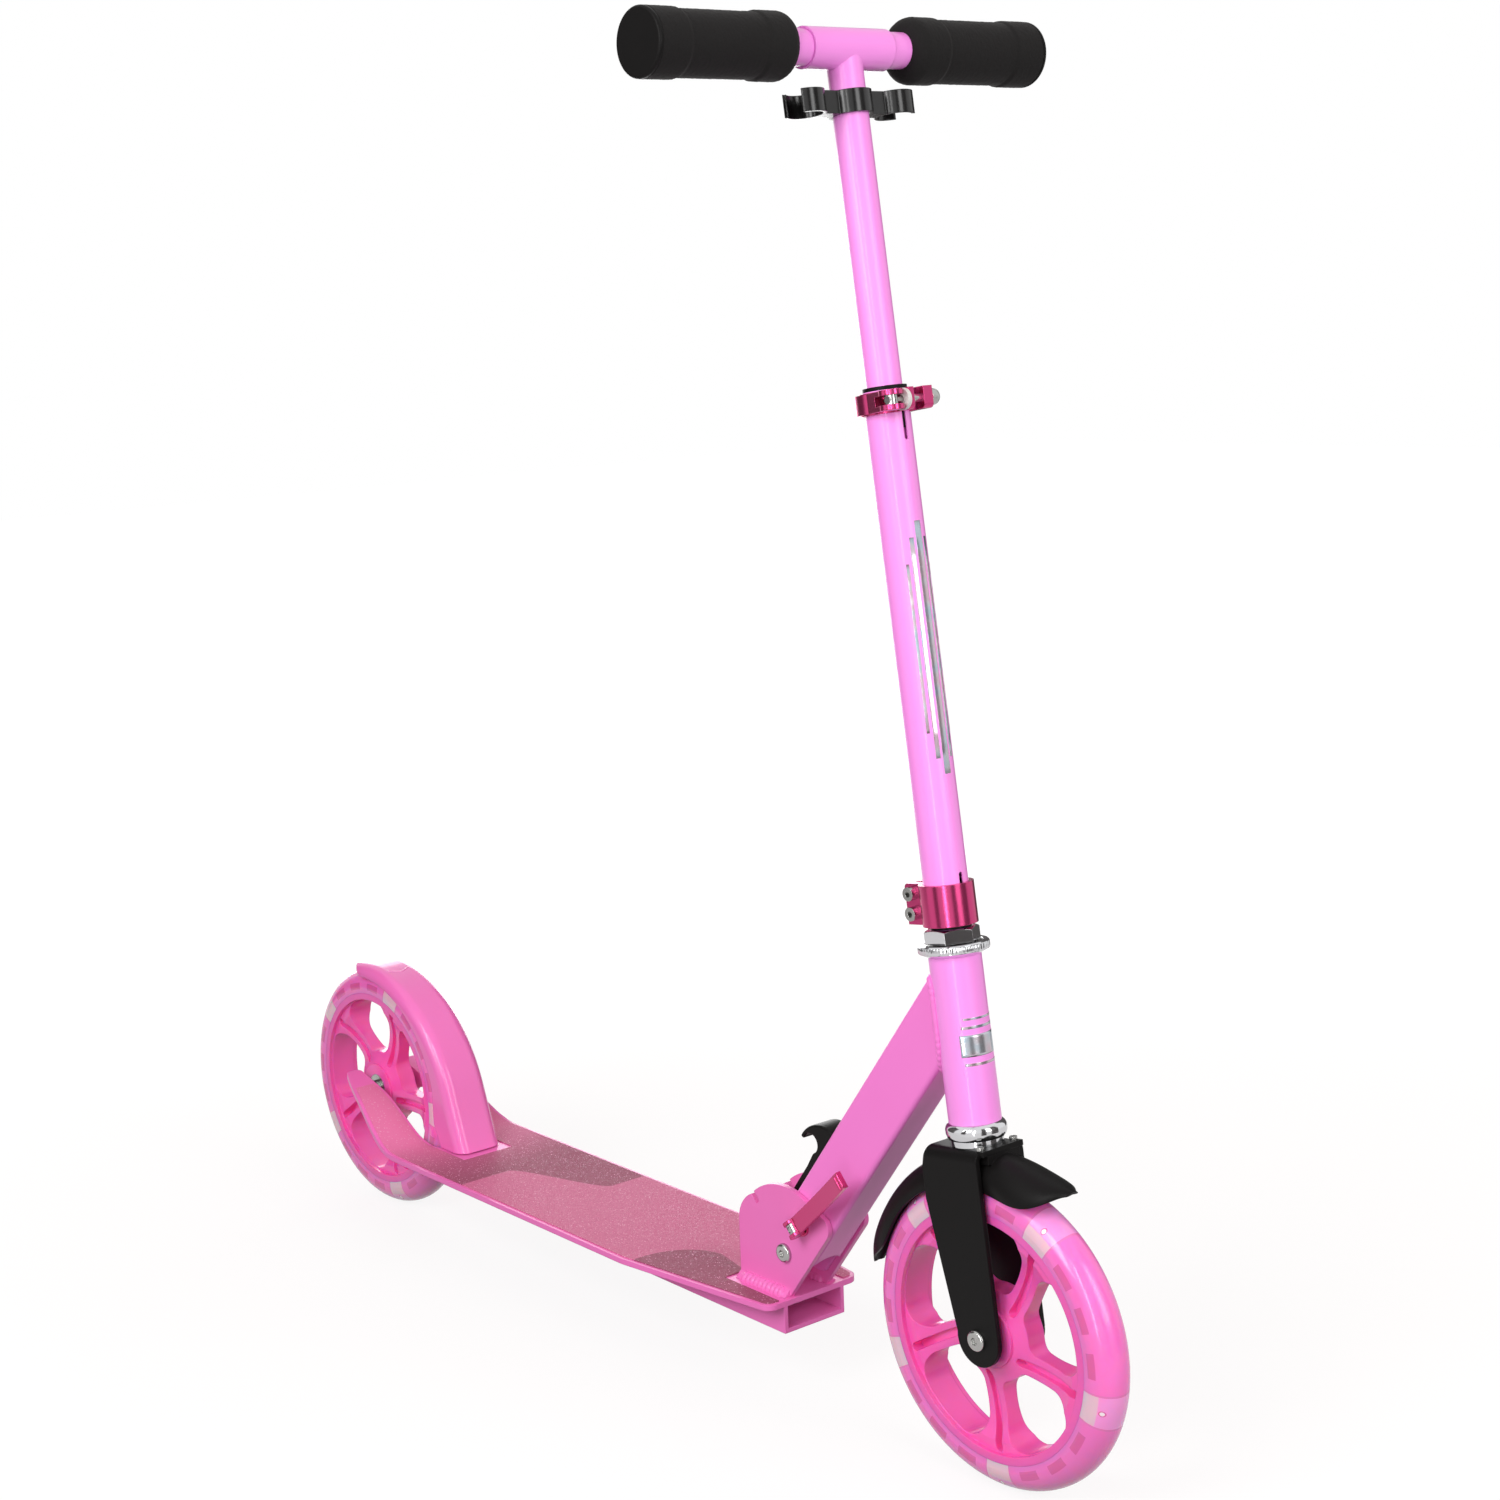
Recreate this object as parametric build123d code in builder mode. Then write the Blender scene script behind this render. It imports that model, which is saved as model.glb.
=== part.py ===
from build123d import *
import os
from math import cos, radians, sin, tan

# Kick scooter, millimetres. +X forward, +Y to the rider's left, +Z up.
# The origin is on the ground midway between the axles.

# Wheels
wheelbase = 710.0
wheel_r = 100.0
tyre_half = 14.4
tyre_depth = 19.0
rim_r = wheel_r - tyre_depth
rim_half = 14.0
ring_t = 6.0
ring_inner_r = rim_r - ring_t
tongue_h = 9.0
tongue_r = rim_r + tongue_h
tongue_half = 5.0
web_half = 10.5
spoke_count = 5
spoke_w = 15.0
spoke_blend_r = 15.0
hub_blend_r = 8.0
rim_step = 0.5
spoke_sweep = 13.0
groove_w = 5.5
groove_floor = 2.0
dish_half = 5.6
hub_web_r = 30.0
hub_r = 21.0
hub_half = 12.5
bearing_r = 11.0
bearing_w = 7.0
axle_r = 4.0
axle_fit = 0.05
light_count = 4
light_len = 12.0
light_bed = 1.5
light_floor = rim_r + light_bed
light_gap = 1.0
front_spoke_angle = 59.5
rear_spoke_angle = 69.5

# Deck
neck_reach = 175.5
deck_reach = wheelbase - neck_reach
deck_width = 119.0
deck_drop = 26.0
deck_top = wheel_r - deck_drop
deck_t = 4.0
deck_nose_w = 82.0
nose_len = 139.0
nose_corner_r = 9.0
box_w = 54.0
box_depth = 23.0
box_bottom = deck_top - box_depth
box_wall = 3.0
box_setback = 18.0
box_reach = wheel_r + box_setback
slot_half = 21.0
slot_gap = 7.0
slot_corner_r = 9.0
arm_over = 13.0
arm_tip_rise = 15.0
arm_tip_w = 13.0
arm_knee = 31.6
arm_knee_rise = 3.1
arm_bend_angle = 30.0
arm_bend_r = 60.0
arm_knee_r = 80.0
arm_swell = 4.0
arm_corner_r = 4.0
dropout_t = 4.0
dropout_r = 10.5
tape_t = 0.8
tape_margin = 3.0
tape_tip_gap = 26.0

# Folding hinge
pivot_setback = 7.5
pivot_reach = deck_reach - pivot_setback
pivot_rise = 30.5
neck_angle = 53.0
fold_angle = 80.0
plate_t = 4.0
plate_gap = 0.4
plate_back = 47.5
plate_clear = 0.8
plate_rim_r = 47.0
plate_rim_back = 135.5
plate_rim_front = 63.5
plate_heel = 9.4
plate_swell = 1.06
plate_corner_r = 9.0
notch_w = 4.0
notch_depth = 8.0
lock_r = 30.0
stud_r = 3.4
stud_fit = 0.1
pivot_r = 4.0
pivot_fit = 0.06
weld_leg = 5.0

# Lock lever on the near plate
lock_washer_t = 1.5
lock_washer_r = 7.0
lock_thread_r = 2.0
lock_cam_r = 5.4
lock_barrel_r = 4.2
lock_barrel_half = 3.2
lock_pin_r = 2.4
lock_lever_angle = 41.0
lock_lever_len = 80.0
lock_lever_w = 11.5
lock_lever_t = 3.6
lock_play = 0.25

# Neck
neck_w = 28.0
neck_d = 41.0
neck_wall = 2.5
neck_corner_r = 3.5
neck_arch_r = 15.7
neck_arch_top = 14.0
head_r = 16.6
head_inner_r = 14.1

# Steering stack, heights along the steering axis above the front axle
rake = 8.0
crown_rise = 20.0
lower_stack = 14.2
head_len = 104.8
upper_stack = 8.4
nut_t = 9.0
tube_gap = 1.8
clamp_len = 26.0
tube_len = 330.8
collar_len = 13.6
collar_drop = 0.8
bar_height = 797.5
clip_drop = 26.5
clip_len = 14.0
stem_hidden = 187.0
crown_top = wheel_r + crown_rise
head_bottom = crown_top + lower_stack
head_top = head_bottom + head_len
nut_bottom = head_top + upper_stack
nut_top = nut_bottom + nut_t
tube_bottom = nut_top + tube_gap
clamp_top = tube_bottom + clamp_len
tube_top = tube_bottom + tube_len
collar_top = tube_top - collar_drop
collar_bottom = collar_top - collar_len
clip_top = bar_height - clip_drop
clip_bottom = clip_top - clip_len
stem_foot = tube_top - stem_hidden

steerer_r = 12.7
steerer_wall = 2.4
steerer_fit = 0.05
tube_r = 14.0
stem_r = 11.1
stem_wall = 1.6
stem_fit = 0.1
race_gap = 0.3

# Fork
leg_inner = 17.6
leg_t = 3.4
leg_front = 17.5
leg_back = 30.8
crown_t = 3.5
crown_tongue = 21.5
crown_bend_r = 7.0

# Handlebar
tee_r = 12.7
tee_half = 33.0
tee_bore_r = 11.3
bar_r = 11.2
bar_inner = 3.0
grip_inner = 48.0
grip_outer = 156.0
grip_r = 20.6
grip_waist_r = 19.6
grip_band = 21.0
grip_step = 3.0
grip_shoulder_r = 9.0
cap_t = 2.5

# Fender brake
fender_rise = 7.5
fender_r = wheel_r + fender_rise
skirt_lap = 2.5
skirt_r = wheel_r - skirt_lap
fender_wall = 3.0
fender_half = 20.5
foot_ahead = 35.5
foot_behind = 6.0
fender_foot_front = wheel_r + foot_ahead
fender_foot_back = wheel_r + foot_behind
fender_shoulder_r = 10.0
fender_gap = 1.0
fender_brow = 23.5
fender_slope = 70.3
skirt_low = 18.0
skirt_high = 46.0
lip_angle = 101.0
lip_blend = 85.0
lip_round_r = 16.0
pin_ahead = 22.0
fender_pin_reach = wheel_r + pin_ahead
fender_pin_rise = 9.0
fender_pin_r = 3.0
pin_cover = 1.8
fender_pin_half = fender_half - pin_cover
fender_pin_play = 0.3
lug_r = 5.0

# Directions and key points
rear_x = -wheelbase / 2
front_x = wheelbase / 2
deck_front_x = rear_x + deck_reach
deck_half = deck_width / 2
deck_under = deck_top - deck_t
pivot_x = rear_x + pivot_reach
pivot_z = deck_top + pivot_rise
neck_dir = Vector(cos(radians(neck_angle)), 0, sin(radians(neck_angle)))
steer_dir = Vector(-sin(radians(rake)), 0, cos(radians(rake)))
ahead_dir = Vector(cos(radians(rake)), 0, sin(radians(rake)))
rear_axle = Vector(rear_x, 0, wheel_r)
front_axle = Vector(front_x, 0, wheel_r)
pivot = Vector(pivot_x, 0, pivot_z)
plate_inner = neck_w / 2 + plate_gap
plate_outer = plate_inner + plate_t

steer = Plane(origin=front_axle, x_dir=ahead_dir, z_dir=steer_dir)
steer_side = Plane(origin=front_axle, x_dir=ahead_dir, z_dir=(0, -1, 0))
steer_across = Plane(origin=front_axle, x_dir=(0, 1, 0), z_dir=ahead_dir)
bar_plane = Plane(origin=front_axle + steer_dir * bar_height, x_dir=ahead_dir, z_dir=(0, 1, 0))
bar_side = Plane(origin=front_axle + steer_dir * bar_height, x_dir=(0, 1, 0), z_dir=-ahead_dir)
neck_side = Plane(origin=pivot, x_dir=neck_dir, z_dir=(0, -1, 0))
neck_cross = Plane(origin=pivot, x_dir=(0, 1, 0), z_dir=neck_dir)
neck_front = Plane(origin=pivot, x_dir=(0, 1, 0), z_dir=neck_side.y_dir)
hinge_side = Plane(origin=pivot, x_dir=(1, 0, 0), z_dir=(0, -1, 0))
rear_side = Plane(origin=rear_axle, x_dir=(1, 0, 0), z_dir=(0, -1, 0))

os.makedirs("parts", exist_ok=True)
pieces = {}


def sleeve(plane, start, end, outer_r, inner_r=0.0):
    """Round bar or tube along the plane's normal, from start to end."""
    with BuildPart() as piece:
        with BuildSketch(plane.offset(start)):
            Circle(outer_r)
            if inner_r:
                Circle(inner_r, mode=Mode.SUBTRACT)
        extrude(amount=end - start)
    return piece


def polar(r, angle):
    return (r * cos(radians(angle)), r * sin(radians(angle)))


# Deck: one profile with footboard, box channel, bent arms and dropouts
arm_tip_x = rear_x - arm_over
arm_tip_z = wheel_r + arm_tip_rise
arm_knee_x = rear_x + arm_knee
arm_knee_z = wheel_r + arm_knee_rise
arm_bend_x = arm_knee_x + (arm_knee_z - deck_top) / tan(radians(arm_bend_angle))
slot_front_x = rear_x + wheel_r + slot_gap
arm_tip_half = slot_half + arm_tip_w
pin_x = rear_x + fender_pin_reach
pin_z = deck_top + fender_pin_rise
deck_path = [
    (deck_front_x, deck_top),
    (arm_bend_x, deck_top),
    (arm_knee_x, arm_knee_z),
    (arm_tip_x, arm_tip_z),
]

with BuildSketch() as deck_plan:
    with BuildLine():
        Polyline((deck_front_x, 0), (deck_front_x, deck_nose_w / 2), (deck_front_x - nose_len, deck_half))
        Line((deck_front_x - nose_len, deck_half), (arm_bend_x, deck_half))
        ThreePointArc(
            (arm_bend_x, deck_half),
            ((arm_bend_x + arm_tip_x) / 2, (deck_half + arm_tip_half) / 2 + arm_swell),
            (arm_tip_x, arm_tip_half),
        )
        Polyline((arm_tip_x, arm_tip_half), (arm_tip_x, slot_half), (slot_front_x, slot_half), (slot_front_x, 0))
        mirror(about=Plane.XZ)
    make_face()
    fillet([v for v in deck_plan.vertices() if abs(v.X - deck_front_x) < 0.01 and abs(v.Y) > 1], nose_corner_r)
    fillet([v for v in deck_plan.vertices() if abs(v.X - arm_tip_x) < 0.01], arm_corner_r)
    fillet([v for v in deck_plan.vertices() if abs(v.X - slot_front_x) < 0.01 and abs(v.Y) > 1], slot_corner_r)

with BuildPart() as deck:
    with BuildSketch(Plane.XZ):
        with BuildLine():
            FilletPolyline(*deck_path, radius=[arm_bend_r, arm_knee_r])
            offset(amount=deck_t, side=Side.LEFT)
        make_face()
    extrude(amount=deck_half, both=True)
    with BuildSketch():
        add(deck_plan.sketch)
    extrude(amount=arm_tip_z + deck_t, mode=Mode.INTERSECT)
    with BuildSketch(Plane.YZ.offset(rear_x + box_reach)):
        with Locations((0, box_bottom)):
            Rectangle(box_w, deck_under - box_bottom, align=(Align.CENTER, Align.MIN))
        with Locations((0, box_bottom + box_wall)):
            Rectangle(
                box_w - 2 * box_wall,
                deck_under - box_bottom - box_wall,
                align=(Align.CENTER, Align.MIN),
                mode=Mode.SUBTRACT,
            )
    extrude(amount=deck_reach - box_reach)
    with BuildSketch(Plane.XZ.offset(slot_half)):
        with BuildLine():
            Polyline(
                (arm_tip_x + arm_corner_r, arm_tip_z - deck_t * 0.8),
                (arm_knee_x, arm_knee_z - deck_t * 0.6),
                (rear_x + dropout_r * 0.8, wheel_r - dropout_r * 0.6),
                (rear_x - dropout_r * 0.8, wheel_r - dropout_r * 0.6),
                close=True,
            )
        make_face()
        with Locations((rear_x, wheel_r)):
            Circle(dropout_r)
            Circle(axle_r + axle_fit, mode=Mode.SUBTRACT)
    extrude(amount=dropout_t)
    mirror(about=Plane.XZ)
    with BuildSketch(Plane.XZ):
        with Locations((pin_x, pin_z)):
            Circle(lug_r)
        with Locations((pin_x, deck_top)):
            Rectangle(2 * lug_r, fender_pin_rise, align=(Align.CENTER, Align.MIN))
        with Locations((pin_x, pin_z)):
            Circle(fender_pin_r, mode=Mode.SUBTRACT)
    extrude(amount=slot_half / 3, both=True)
pieces["deck"] = deck

with BuildPart() as grip_tape:
    with BuildSketch(Plane.XZ):
        with BuildLine():
            FilletPolyline(*deck_path, radius=[arm_bend_r, arm_knee_r])
            offset(amount=tape_t, side=Side.RIGHT)
        make_face()
    extrude(amount=deck_half, both=True)
    with BuildSketch():
        add(deck_plan.sketch)
        offset(amount=-tape_margin)
        with Locations((arm_tip_x, 0)):
            Rectangle(2 * tape_tip_gap, deck_width, mode=Mode.SUBTRACT)
        with Locations((rear_x + fender_foot_front + tape_margin * 3, 0)):
            Rectangle(
                fender_foot_front - fender_foot_back + tape_margin * 5,
                2 * (fender_half + tape_margin),
                align=(Align.MAX, Align.CENTER),
                mode=Mode.SUBTRACT,
            )
        with Locations((pivot_x - plate_back - weld_leg, 0)):
            Rectangle(
                deck_reach,
                2 * (plate_outer + weld_leg + tape_margin * 2),
                align=(Align.MIN, Align.CENTER),
                mode=Mode.SUBTRACT,
            )
    extrude(amount=arm_tip_z + deck_t, mode=Mode.INTERSECT)
pieces["grip_tape"] = grip_tape

# Hinge plates welded on the deck, with a rear and a front lock notch in the rim
front_edge = neck_d / 2 + plate_clear
plate_foot = (front_edge - pivot_rise * cos(radians(neck_angle))) / sin(radians(neck_angle))
plate_nose = (front_edge + pivot_rise * cos(radians(neck_angle))) / sin(radians(neck_angle))
rim_start = polar(plate_rim_r, plate_rim_back)
rim_mid = polar(plate_rim_r, (plate_rim_back + plate_rim_front) / 2)
rim_end = polar(plate_rim_r, plate_rim_front)
heel_mid = polar(plate_rim_r * plate_swell, (plate_rim_back + 180 - plate_heel * 1.4) / 2)


def hinge_plate(side):
    with BuildPart() as piece:
        with BuildSketch(hinge_side.offset(-side * plate_inner)) as outline:
            with BuildLine():
                Polyline(rim_end, (plate_nose, pivot_rise), (plate_foot, -pivot_rise), (-plate_back, -pivot_rise))
                Line((-plate_back, -pivot_rise), (-plate_back, plate_heel))
                ThreePointArc((-plate_back, plate_heel), heel_mid, rim_start)
                ThreePointArc(rim_start, rim_mid, rim_end)
            make_face()
            fillet(outline.vertices().sort_by(Axis.X)[-1], plate_corner_r)
            with PolarLocations(plate_rim_r, 1, start_angle=neck_angle + fold_angle):
                Rectangle(2 * notch_depth, notch_w, mode=Mode.SUBTRACT)
            with PolarLocations(lock_r, 1, start_angle=neck_angle):
                Circle(stud_r + stud_fit, mode=Mode.SUBTRACT)
                Rectangle(
                    plate_rim_r, 2 * (stud_r + stud_fit), align=(Align.MIN, Align.CENTER), mode=Mode.SUBTRACT
                )
            Circle(pivot_r + pivot_fit, mode=Mode.SUBTRACT)
        extrude(amount=-side * plate_t)
        with BuildSketch(Plane.YZ.offset(pivot_x - plate_back)):
            with BuildLine():
                Polyline(
                    (side * plate_outer, deck_top),
                    (side * (plate_outer + weld_leg), deck_top),
                    (side * plate_outer, deck_top + weld_leg),
                    close=True,
                )
            make_face()
        extrude(amount=plate_back + plate_foot)
    return piece


pieces["hinge_plate_right"] = hinge_plate(-1)
pieces["hinge_plate_left"] = hinge_plate(1)


def socket_bolt(plane, start, end, shank_r, head_r, head_h):
    """Button-head bolt along the plane's normal: head below start, shank up to end, hex socket in the head."""
    with BuildPart() as piece:
        with BuildSketch(plane.offset(start)):
            Circle(shank_r)
        extrude(amount=end - start)
        with BuildSketch(plane.offset(start)):
            Circle(head_r)
        extrude(amount=-head_h)
        fillet(piece.edges().sort_by(Axis(plane.origin, plane.z_dir))[0], head_h * 0.6)
        with BuildSketch(plane.offset(start - head_h)):
            RegularPolygon(head_r * 0.4, 6)
        extrude(amount=head_h * 0.5, mode=Mode.SUBTRACT)
    return piece


def hex_nut(plane, start, end, circle_r, bore_r):
    with BuildPart() as piece:
        with BuildSketch(plane.offset(start)):
            RegularPolygon(circle_r, 6)
            Circle(bore_r, mode=Mode.SUBTRACT)
        extrude(amount=end - start)
    return piece


# Hinge bolt through both plates and the neck, head on the near side
hinge_axis = Plane(origin=pivot, x_dir=(1, 0, 0), z_dir=(0, 1, 0))
bolt_head_h = 3.4
nut_h = 5.0
pieces["hinge_bolt"] = socket_bolt(
    hinge_axis, -plate_outer, plate_outer + nut_h, pivot_r, pivot_r * 1.65, bolt_head_h
)
pieces["hinge_nut"] = hex_nut(hinge_axis, plate_outer, plate_outer + nut_h, pivot_r * 1.9, pivot_r + pivot_fit)

# Lock: a stud in each front notch, the near one with cam barrel and lever
lock_point = pivot + neck_dir * lock_r
lock_axis = Plane(origin=lock_point, x_dir=neck_dir, z_dir=(0, 1, 0))
barrel_y = -(plate_outer + lock_washer_t + lock_cam_r + lock_play)
with BuildPart() as lock_stud:
    with BuildSketch(lock_axis.offset(-plate_outer)):
        Circle(stud_r)
    extrude(amount=plate_t)
    with BuildSketch(lock_axis.offset(-plate_outer)):
        Circle(lock_thread_r)
    extrude(amount=barrel_y + plate_outer - lock_barrel_r * 0.8)
pieces["lock_stud"] = lock_stud
pieces["lock_washer"] = sleeve(
    lock_axis, -plate_outer - lock_washer_t, -plate_outer, lock_washer_r, lock_thread_r + stud_fit
)
with BuildPart() as lock_anchor:
    with BuildSketch(lock_axis.offset(plate_inner)):
        Circle(stud_r)
    extrude(amount=plate_t)
    with BuildSketch(lock_axis.offset(plate_outer)):
        RegularPolygon(lock_washer_r, 6)
    extrude(amount=nut_h)
pieces["lock_anchor"] = lock_anchor

lever_dir = Vector(cos(radians(lock_lever_angle)), 0, sin(radians(lock_lever_angle)))
cam_axis_dir = Vector(-sin(radians(lock_lever_angle)), 0, cos(radians(lock_lever_angle)))
barrel_point = Vector(lock_point.X, barrel_y, lock_point.Z)
cam_plane = Plane(origin=barrel_point, x_dir=lever_dir, z_dir=cam_axis_dir)
with BuildPart() as lock_barrel:
    with BuildSketch(cam_plane):
        Circle(lock_pin_r)
    extrude(amount=lock_lever_w / 2, both=True)
    with BuildSketch(cam_plane):
        Circle(lock_barrel_r)
    extrude(amount=lock_barrel_half, both=True)
    with BuildSketch(lock_axis.offset(barrel_y - lock_barrel_r)):
        Circle(lock_thread_r + stud_fit)
    extrude(amount=2 * lock_barrel_r, mode=Mode.SUBTRACT)
pieces["lock_barrel"] = lock_barrel

with BuildPart() as lock_lever:
    with BuildSketch(cam_plane):
        Circle(lock_cam_r)
        with BuildLine():
            bow = ThreePointArc(
                (0, lock_cam_r - lock_lever_t),
                (lock_lever_len * 0.55, -lock_lever_t * 0.6),
                (lock_lever_len, -lock_lever_t * 2.2),
            )
            offset(bow, amount=lock_lever_t, side=Side.RIGHT)
        make_face()
    extrude(amount=lock_lever_w / 2, both=True)
    with BuildSketch(cam_plane):
        Circle(lock_pin_r + stud_fit)
    extrude(amount=lock_lever_w, both=True, mode=Mode.SUBTRACT)
    with BuildSketch(cam_plane):
        with Locations((lock_barrel_r + lock_play - lock_cam_r * 2, 0)):
            Rectangle(lock_cam_r * 4, lock_cam_r * 4, align=(Align.CENTER, Align.CENTER))
    extrude(amount=lock_barrel_half + lock_play, both=True, mode=Mode.SUBTRACT)
pieces["lock_lever"] = lock_lever

# Neck: rectangular down tube with a round lower end and an arched front wall, coped to the head tube
cross_along = (wheelbase / 2 - pivot_x) * cos(radians(rake)) + (wheel_r - pivot_z) * sin(radians(rake))
neck_len = cross_along / cos(radians(neck_angle - rake))
with BuildPart() as down_tube:
    with BuildSketch(neck_cross.offset(-neck_d / 2)):
        RectangleRounded(neck_w, neck_d, neck_corner_r)
        RectangleRounded(
            neck_w - 2 * neck_wall, neck_d - 2 * neck_wall, neck_corner_r - neck_wall, mode=Mode.SUBTRACT
        )
    extrude(amount=neck_len + neck_d / 2)
    with BuildSketch(neck_side):
        with Locations((-neck_d, 0)):
            Rectangle(neck_d, neck_d * 1.1, align=(Align.MIN, Align.CENTER))
        Circle(neck_d / 2, mode=Mode.SUBTRACT)
    extrude(amount=neck_w, both=True, mode=Mode.SUBTRACT)
    with BuildSketch(neck_side):
        Circle(pivot_r + pivot_fit)
    extrude(amount=neck_w, both=True, mode=Mode.SUBTRACT)
    with BuildSketch(neck_front.offset(1.5 * neck_wall - neck_d / 2)):
        with Locations((0, neck_arch_r - neck_arch_top)):
            Circle(neck_arch_r)
        with Locations((0, neck_arch_r - neck_arch_top)):
            Rectangle(2 * neck_arch_r, neck_d, align=(Align.CENTER, Align.MIN))
    extrude(amount=-neck_d, mode=Mode.SUBTRACT)
    with BuildSketch(steer.offset(head_bottom)):
        Circle(head_r)
    extrude(amount=head_top - head_bottom, mode=Mode.SUBTRACT)
    split(bisect_by=Plane(origin=front_axle, x_dir=(0, 1, 0), z_dir=ahead_dir), keep=Keep.BOTTOM)
pieces["down_tube"] = down_tube
pieces["head_tube"] = sleeve(steer, head_bottom, head_top, head_r, head_inner_r)

# Latch trigger sliding on the rear face of the down tube
trigger_half = 9.5
trigger_foot = 34.0
trigger_top = 98.0
trigger_strip = 4.6
trigger_hook = 21.5
trigger_tip = 26.0
trigger_tip_t = 3.6
trigger_pocket = 16.5
trigger_root = 5.8
trigger_edge_r = 1.4
trigger_face = neck_d / 2 + plate_gap
with BuildPart() as latch_trigger:
    with BuildSketch(neck_side) as trigger_profile:
        with BuildLine():
            Line((trigger_foot, trigger_face), (trigger_top, trigger_face))
            ThreePointArc(
                (trigger_top, trigger_face),
                (trigger_top - trigger_tip * 0.25, trigger_face + trigger_hook * 0.66),
                (trigger_top - trigger_tip, trigger_face + trigger_hook),
            )
            Line(
                (trigger_top - trigger_tip, trigger_face + trigger_hook),
                (trigger_top - trigger_tip, trigger_face + trigger_hook - trigger_tip_t),
            )
            ThreePointArc(
                (trigger_top - trigger_tip, trigger_face + trigger_hook - trigger_tip_t),
                (trigger_top - trigger_pocket, trigger_face + trigger_hook * 0.6),
                (trigger_top - trigger_tip, trigger_face + trigger_root),
            )
            Polyline(
                (trigger_top - trigger_tip, trigger_face + trigger_root),
                (trigger_foot + trigger_tip, trigger_face + trigger_strip),
                (trigger_foot, trigger_face + trigger_strip),
                (trigger_foot, trigger_face),
            )
        make_face()
        fillet(trigger_profile.vertices().sort_by(Axis.Y)[-2:], trigger_edge_r)
    extrude(amount=trigger_half, both=True)
    curves = latch_trigger.edges().filter_by(GeomType.CIRCLE)
    fillet(curves.filter_by(lambda e: e.length > trigger_tip), trigger_edge_r)
pieces["latch_trigger"] = latch_trigger

# Headset: cups in the head tube, bearings, crown race and lock nut
cup_skirt = 10.0
upper_cup_r = 22.2
lower_cup_r = 19.3
upper_seat_r = 18.4
lower_seat_r = 16.4
seat_floor = 2.0
flange_t = 6.2
flange_edge = 0.8
cup_bulge = 5.0
cup_lip = 1.2
race_top = head_bottom - 10.0
skirt_inner_r = steerer_r + 0.6
cup_top = nut_bottom - race_gap
with BuildPart() as upper_cup:
    with BuildSketch(steer_side):
        with BuildLine():
            Polyline(
                (skirt_inner_r, head_top - cup_skirt),
                (head_inner_r, head_top - cup_skirt),
                (head_inner_r, head_top),
                (head_r, head_top),
                (upper_cup_r - 2 * flange_edge, cup_top - flange_t),
                (upper_cup_r, cup_top - flange_t + flange_edge),
                (upper_cup_r, cup_top - flange_edge),
                (upper_cup_r - flange_edge, cup_top),
                (upper_seat_r, cup_top),
                (upper_seat_r, head_top + seat_floor),
                (skirt_inner_r, head_top + seat_floor),
                close=True,
            )
        make_face()
    revolve(axis=Axis(front_axle, steer_dir))
pieces["upper_cup"] = upper_cup
pieces["upper_bearing"] = sleeve(
    steer, head_top + seat_floor, cup_top - race_gap, upper_seat_r, steerer_r + steerer_fit
)
with BuildPart() as lower_cup:
    with BuildSketch(steer_side):
        with BuildLine():
            Polyline(
                (skirt_inner_r, head_bottom + cup_skirt),
                (head_inner_r, head_bottom + cup_skirt),
                (head_inner_r, head_bottom),
                (head_r, head_bottom),
            )
            ThreePointArc(
                (head_r, head_bottom),
                (lower_cup_r - cup_lip / 2, head_bottom - cup_bulge * 0.4),
                (lower_cup_r, head_bottom - cup_bulge),
            )
            ThreePointArc(
                (lower_cup_r, head_bottom - cup_bulge),
                (lower_cup_r - cup_lip * 0.4, race_top + cup_bulge * 0.4),
                (lower_seat_r + cup_lip, race_top),
            )
            Polyline(
                (lower_seat_r + cup_lip, race_top),
                (lower_seat_r, race_top),
                (lower_seat_r, head_bottom - seat_floor),
                (skirt_inner_r, head_bottom - seat_floor),
                (skirt_inner_r, head_bottom + cup_skirt),
            )
        make_face()
    revolve(axis=Axis(front_axle, steer_dir))
pieces["lower_cup"] = lower_cup
pieces["lower_bearing"] = sleeve(
    steer, race_top + race_gap, head_bottom - seat_floor, lower_seat_r, steerer_r + steerer_fit
)
pieces["crown_race"] = sleeve(steer, crown_top, race_top - race_gap, lower_seat_r, steerer_r + steerer_fit)
nut_circle_r = 17.8
nut_bevel = 1.6
with BuildPart() as headset_nut:
    with BuildSketch(steer.offset(nut_bottom)):
        RegularPolygon(nut_circle_r, 6)
    extrude(amount=nut_t)
    with BuildSketch(steer_side):
        with BuildLine():
            Polyline(
                (0, nut_bottom),
                (nut_circle_r, nut_bottom),
                (nut_circle_r, nut_top - nut_bevel),
                (nut_circle_r - 2 * nut_bevel, nut_top),
                (0, nut_top),
                close=True,
            )
        make_face()
    revolve(axis=Axis(front_axle, steer_dir), mode=Mode.INTERSECT)
    with BuildSketch(steer.offset(nut_bottom)):
        Circle(steerer_r + steerer_fit)
    extrude(amount=nut_t, mode=Mode.SUBTRACT)
pieces["headset_nut"] = headset_nut

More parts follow.
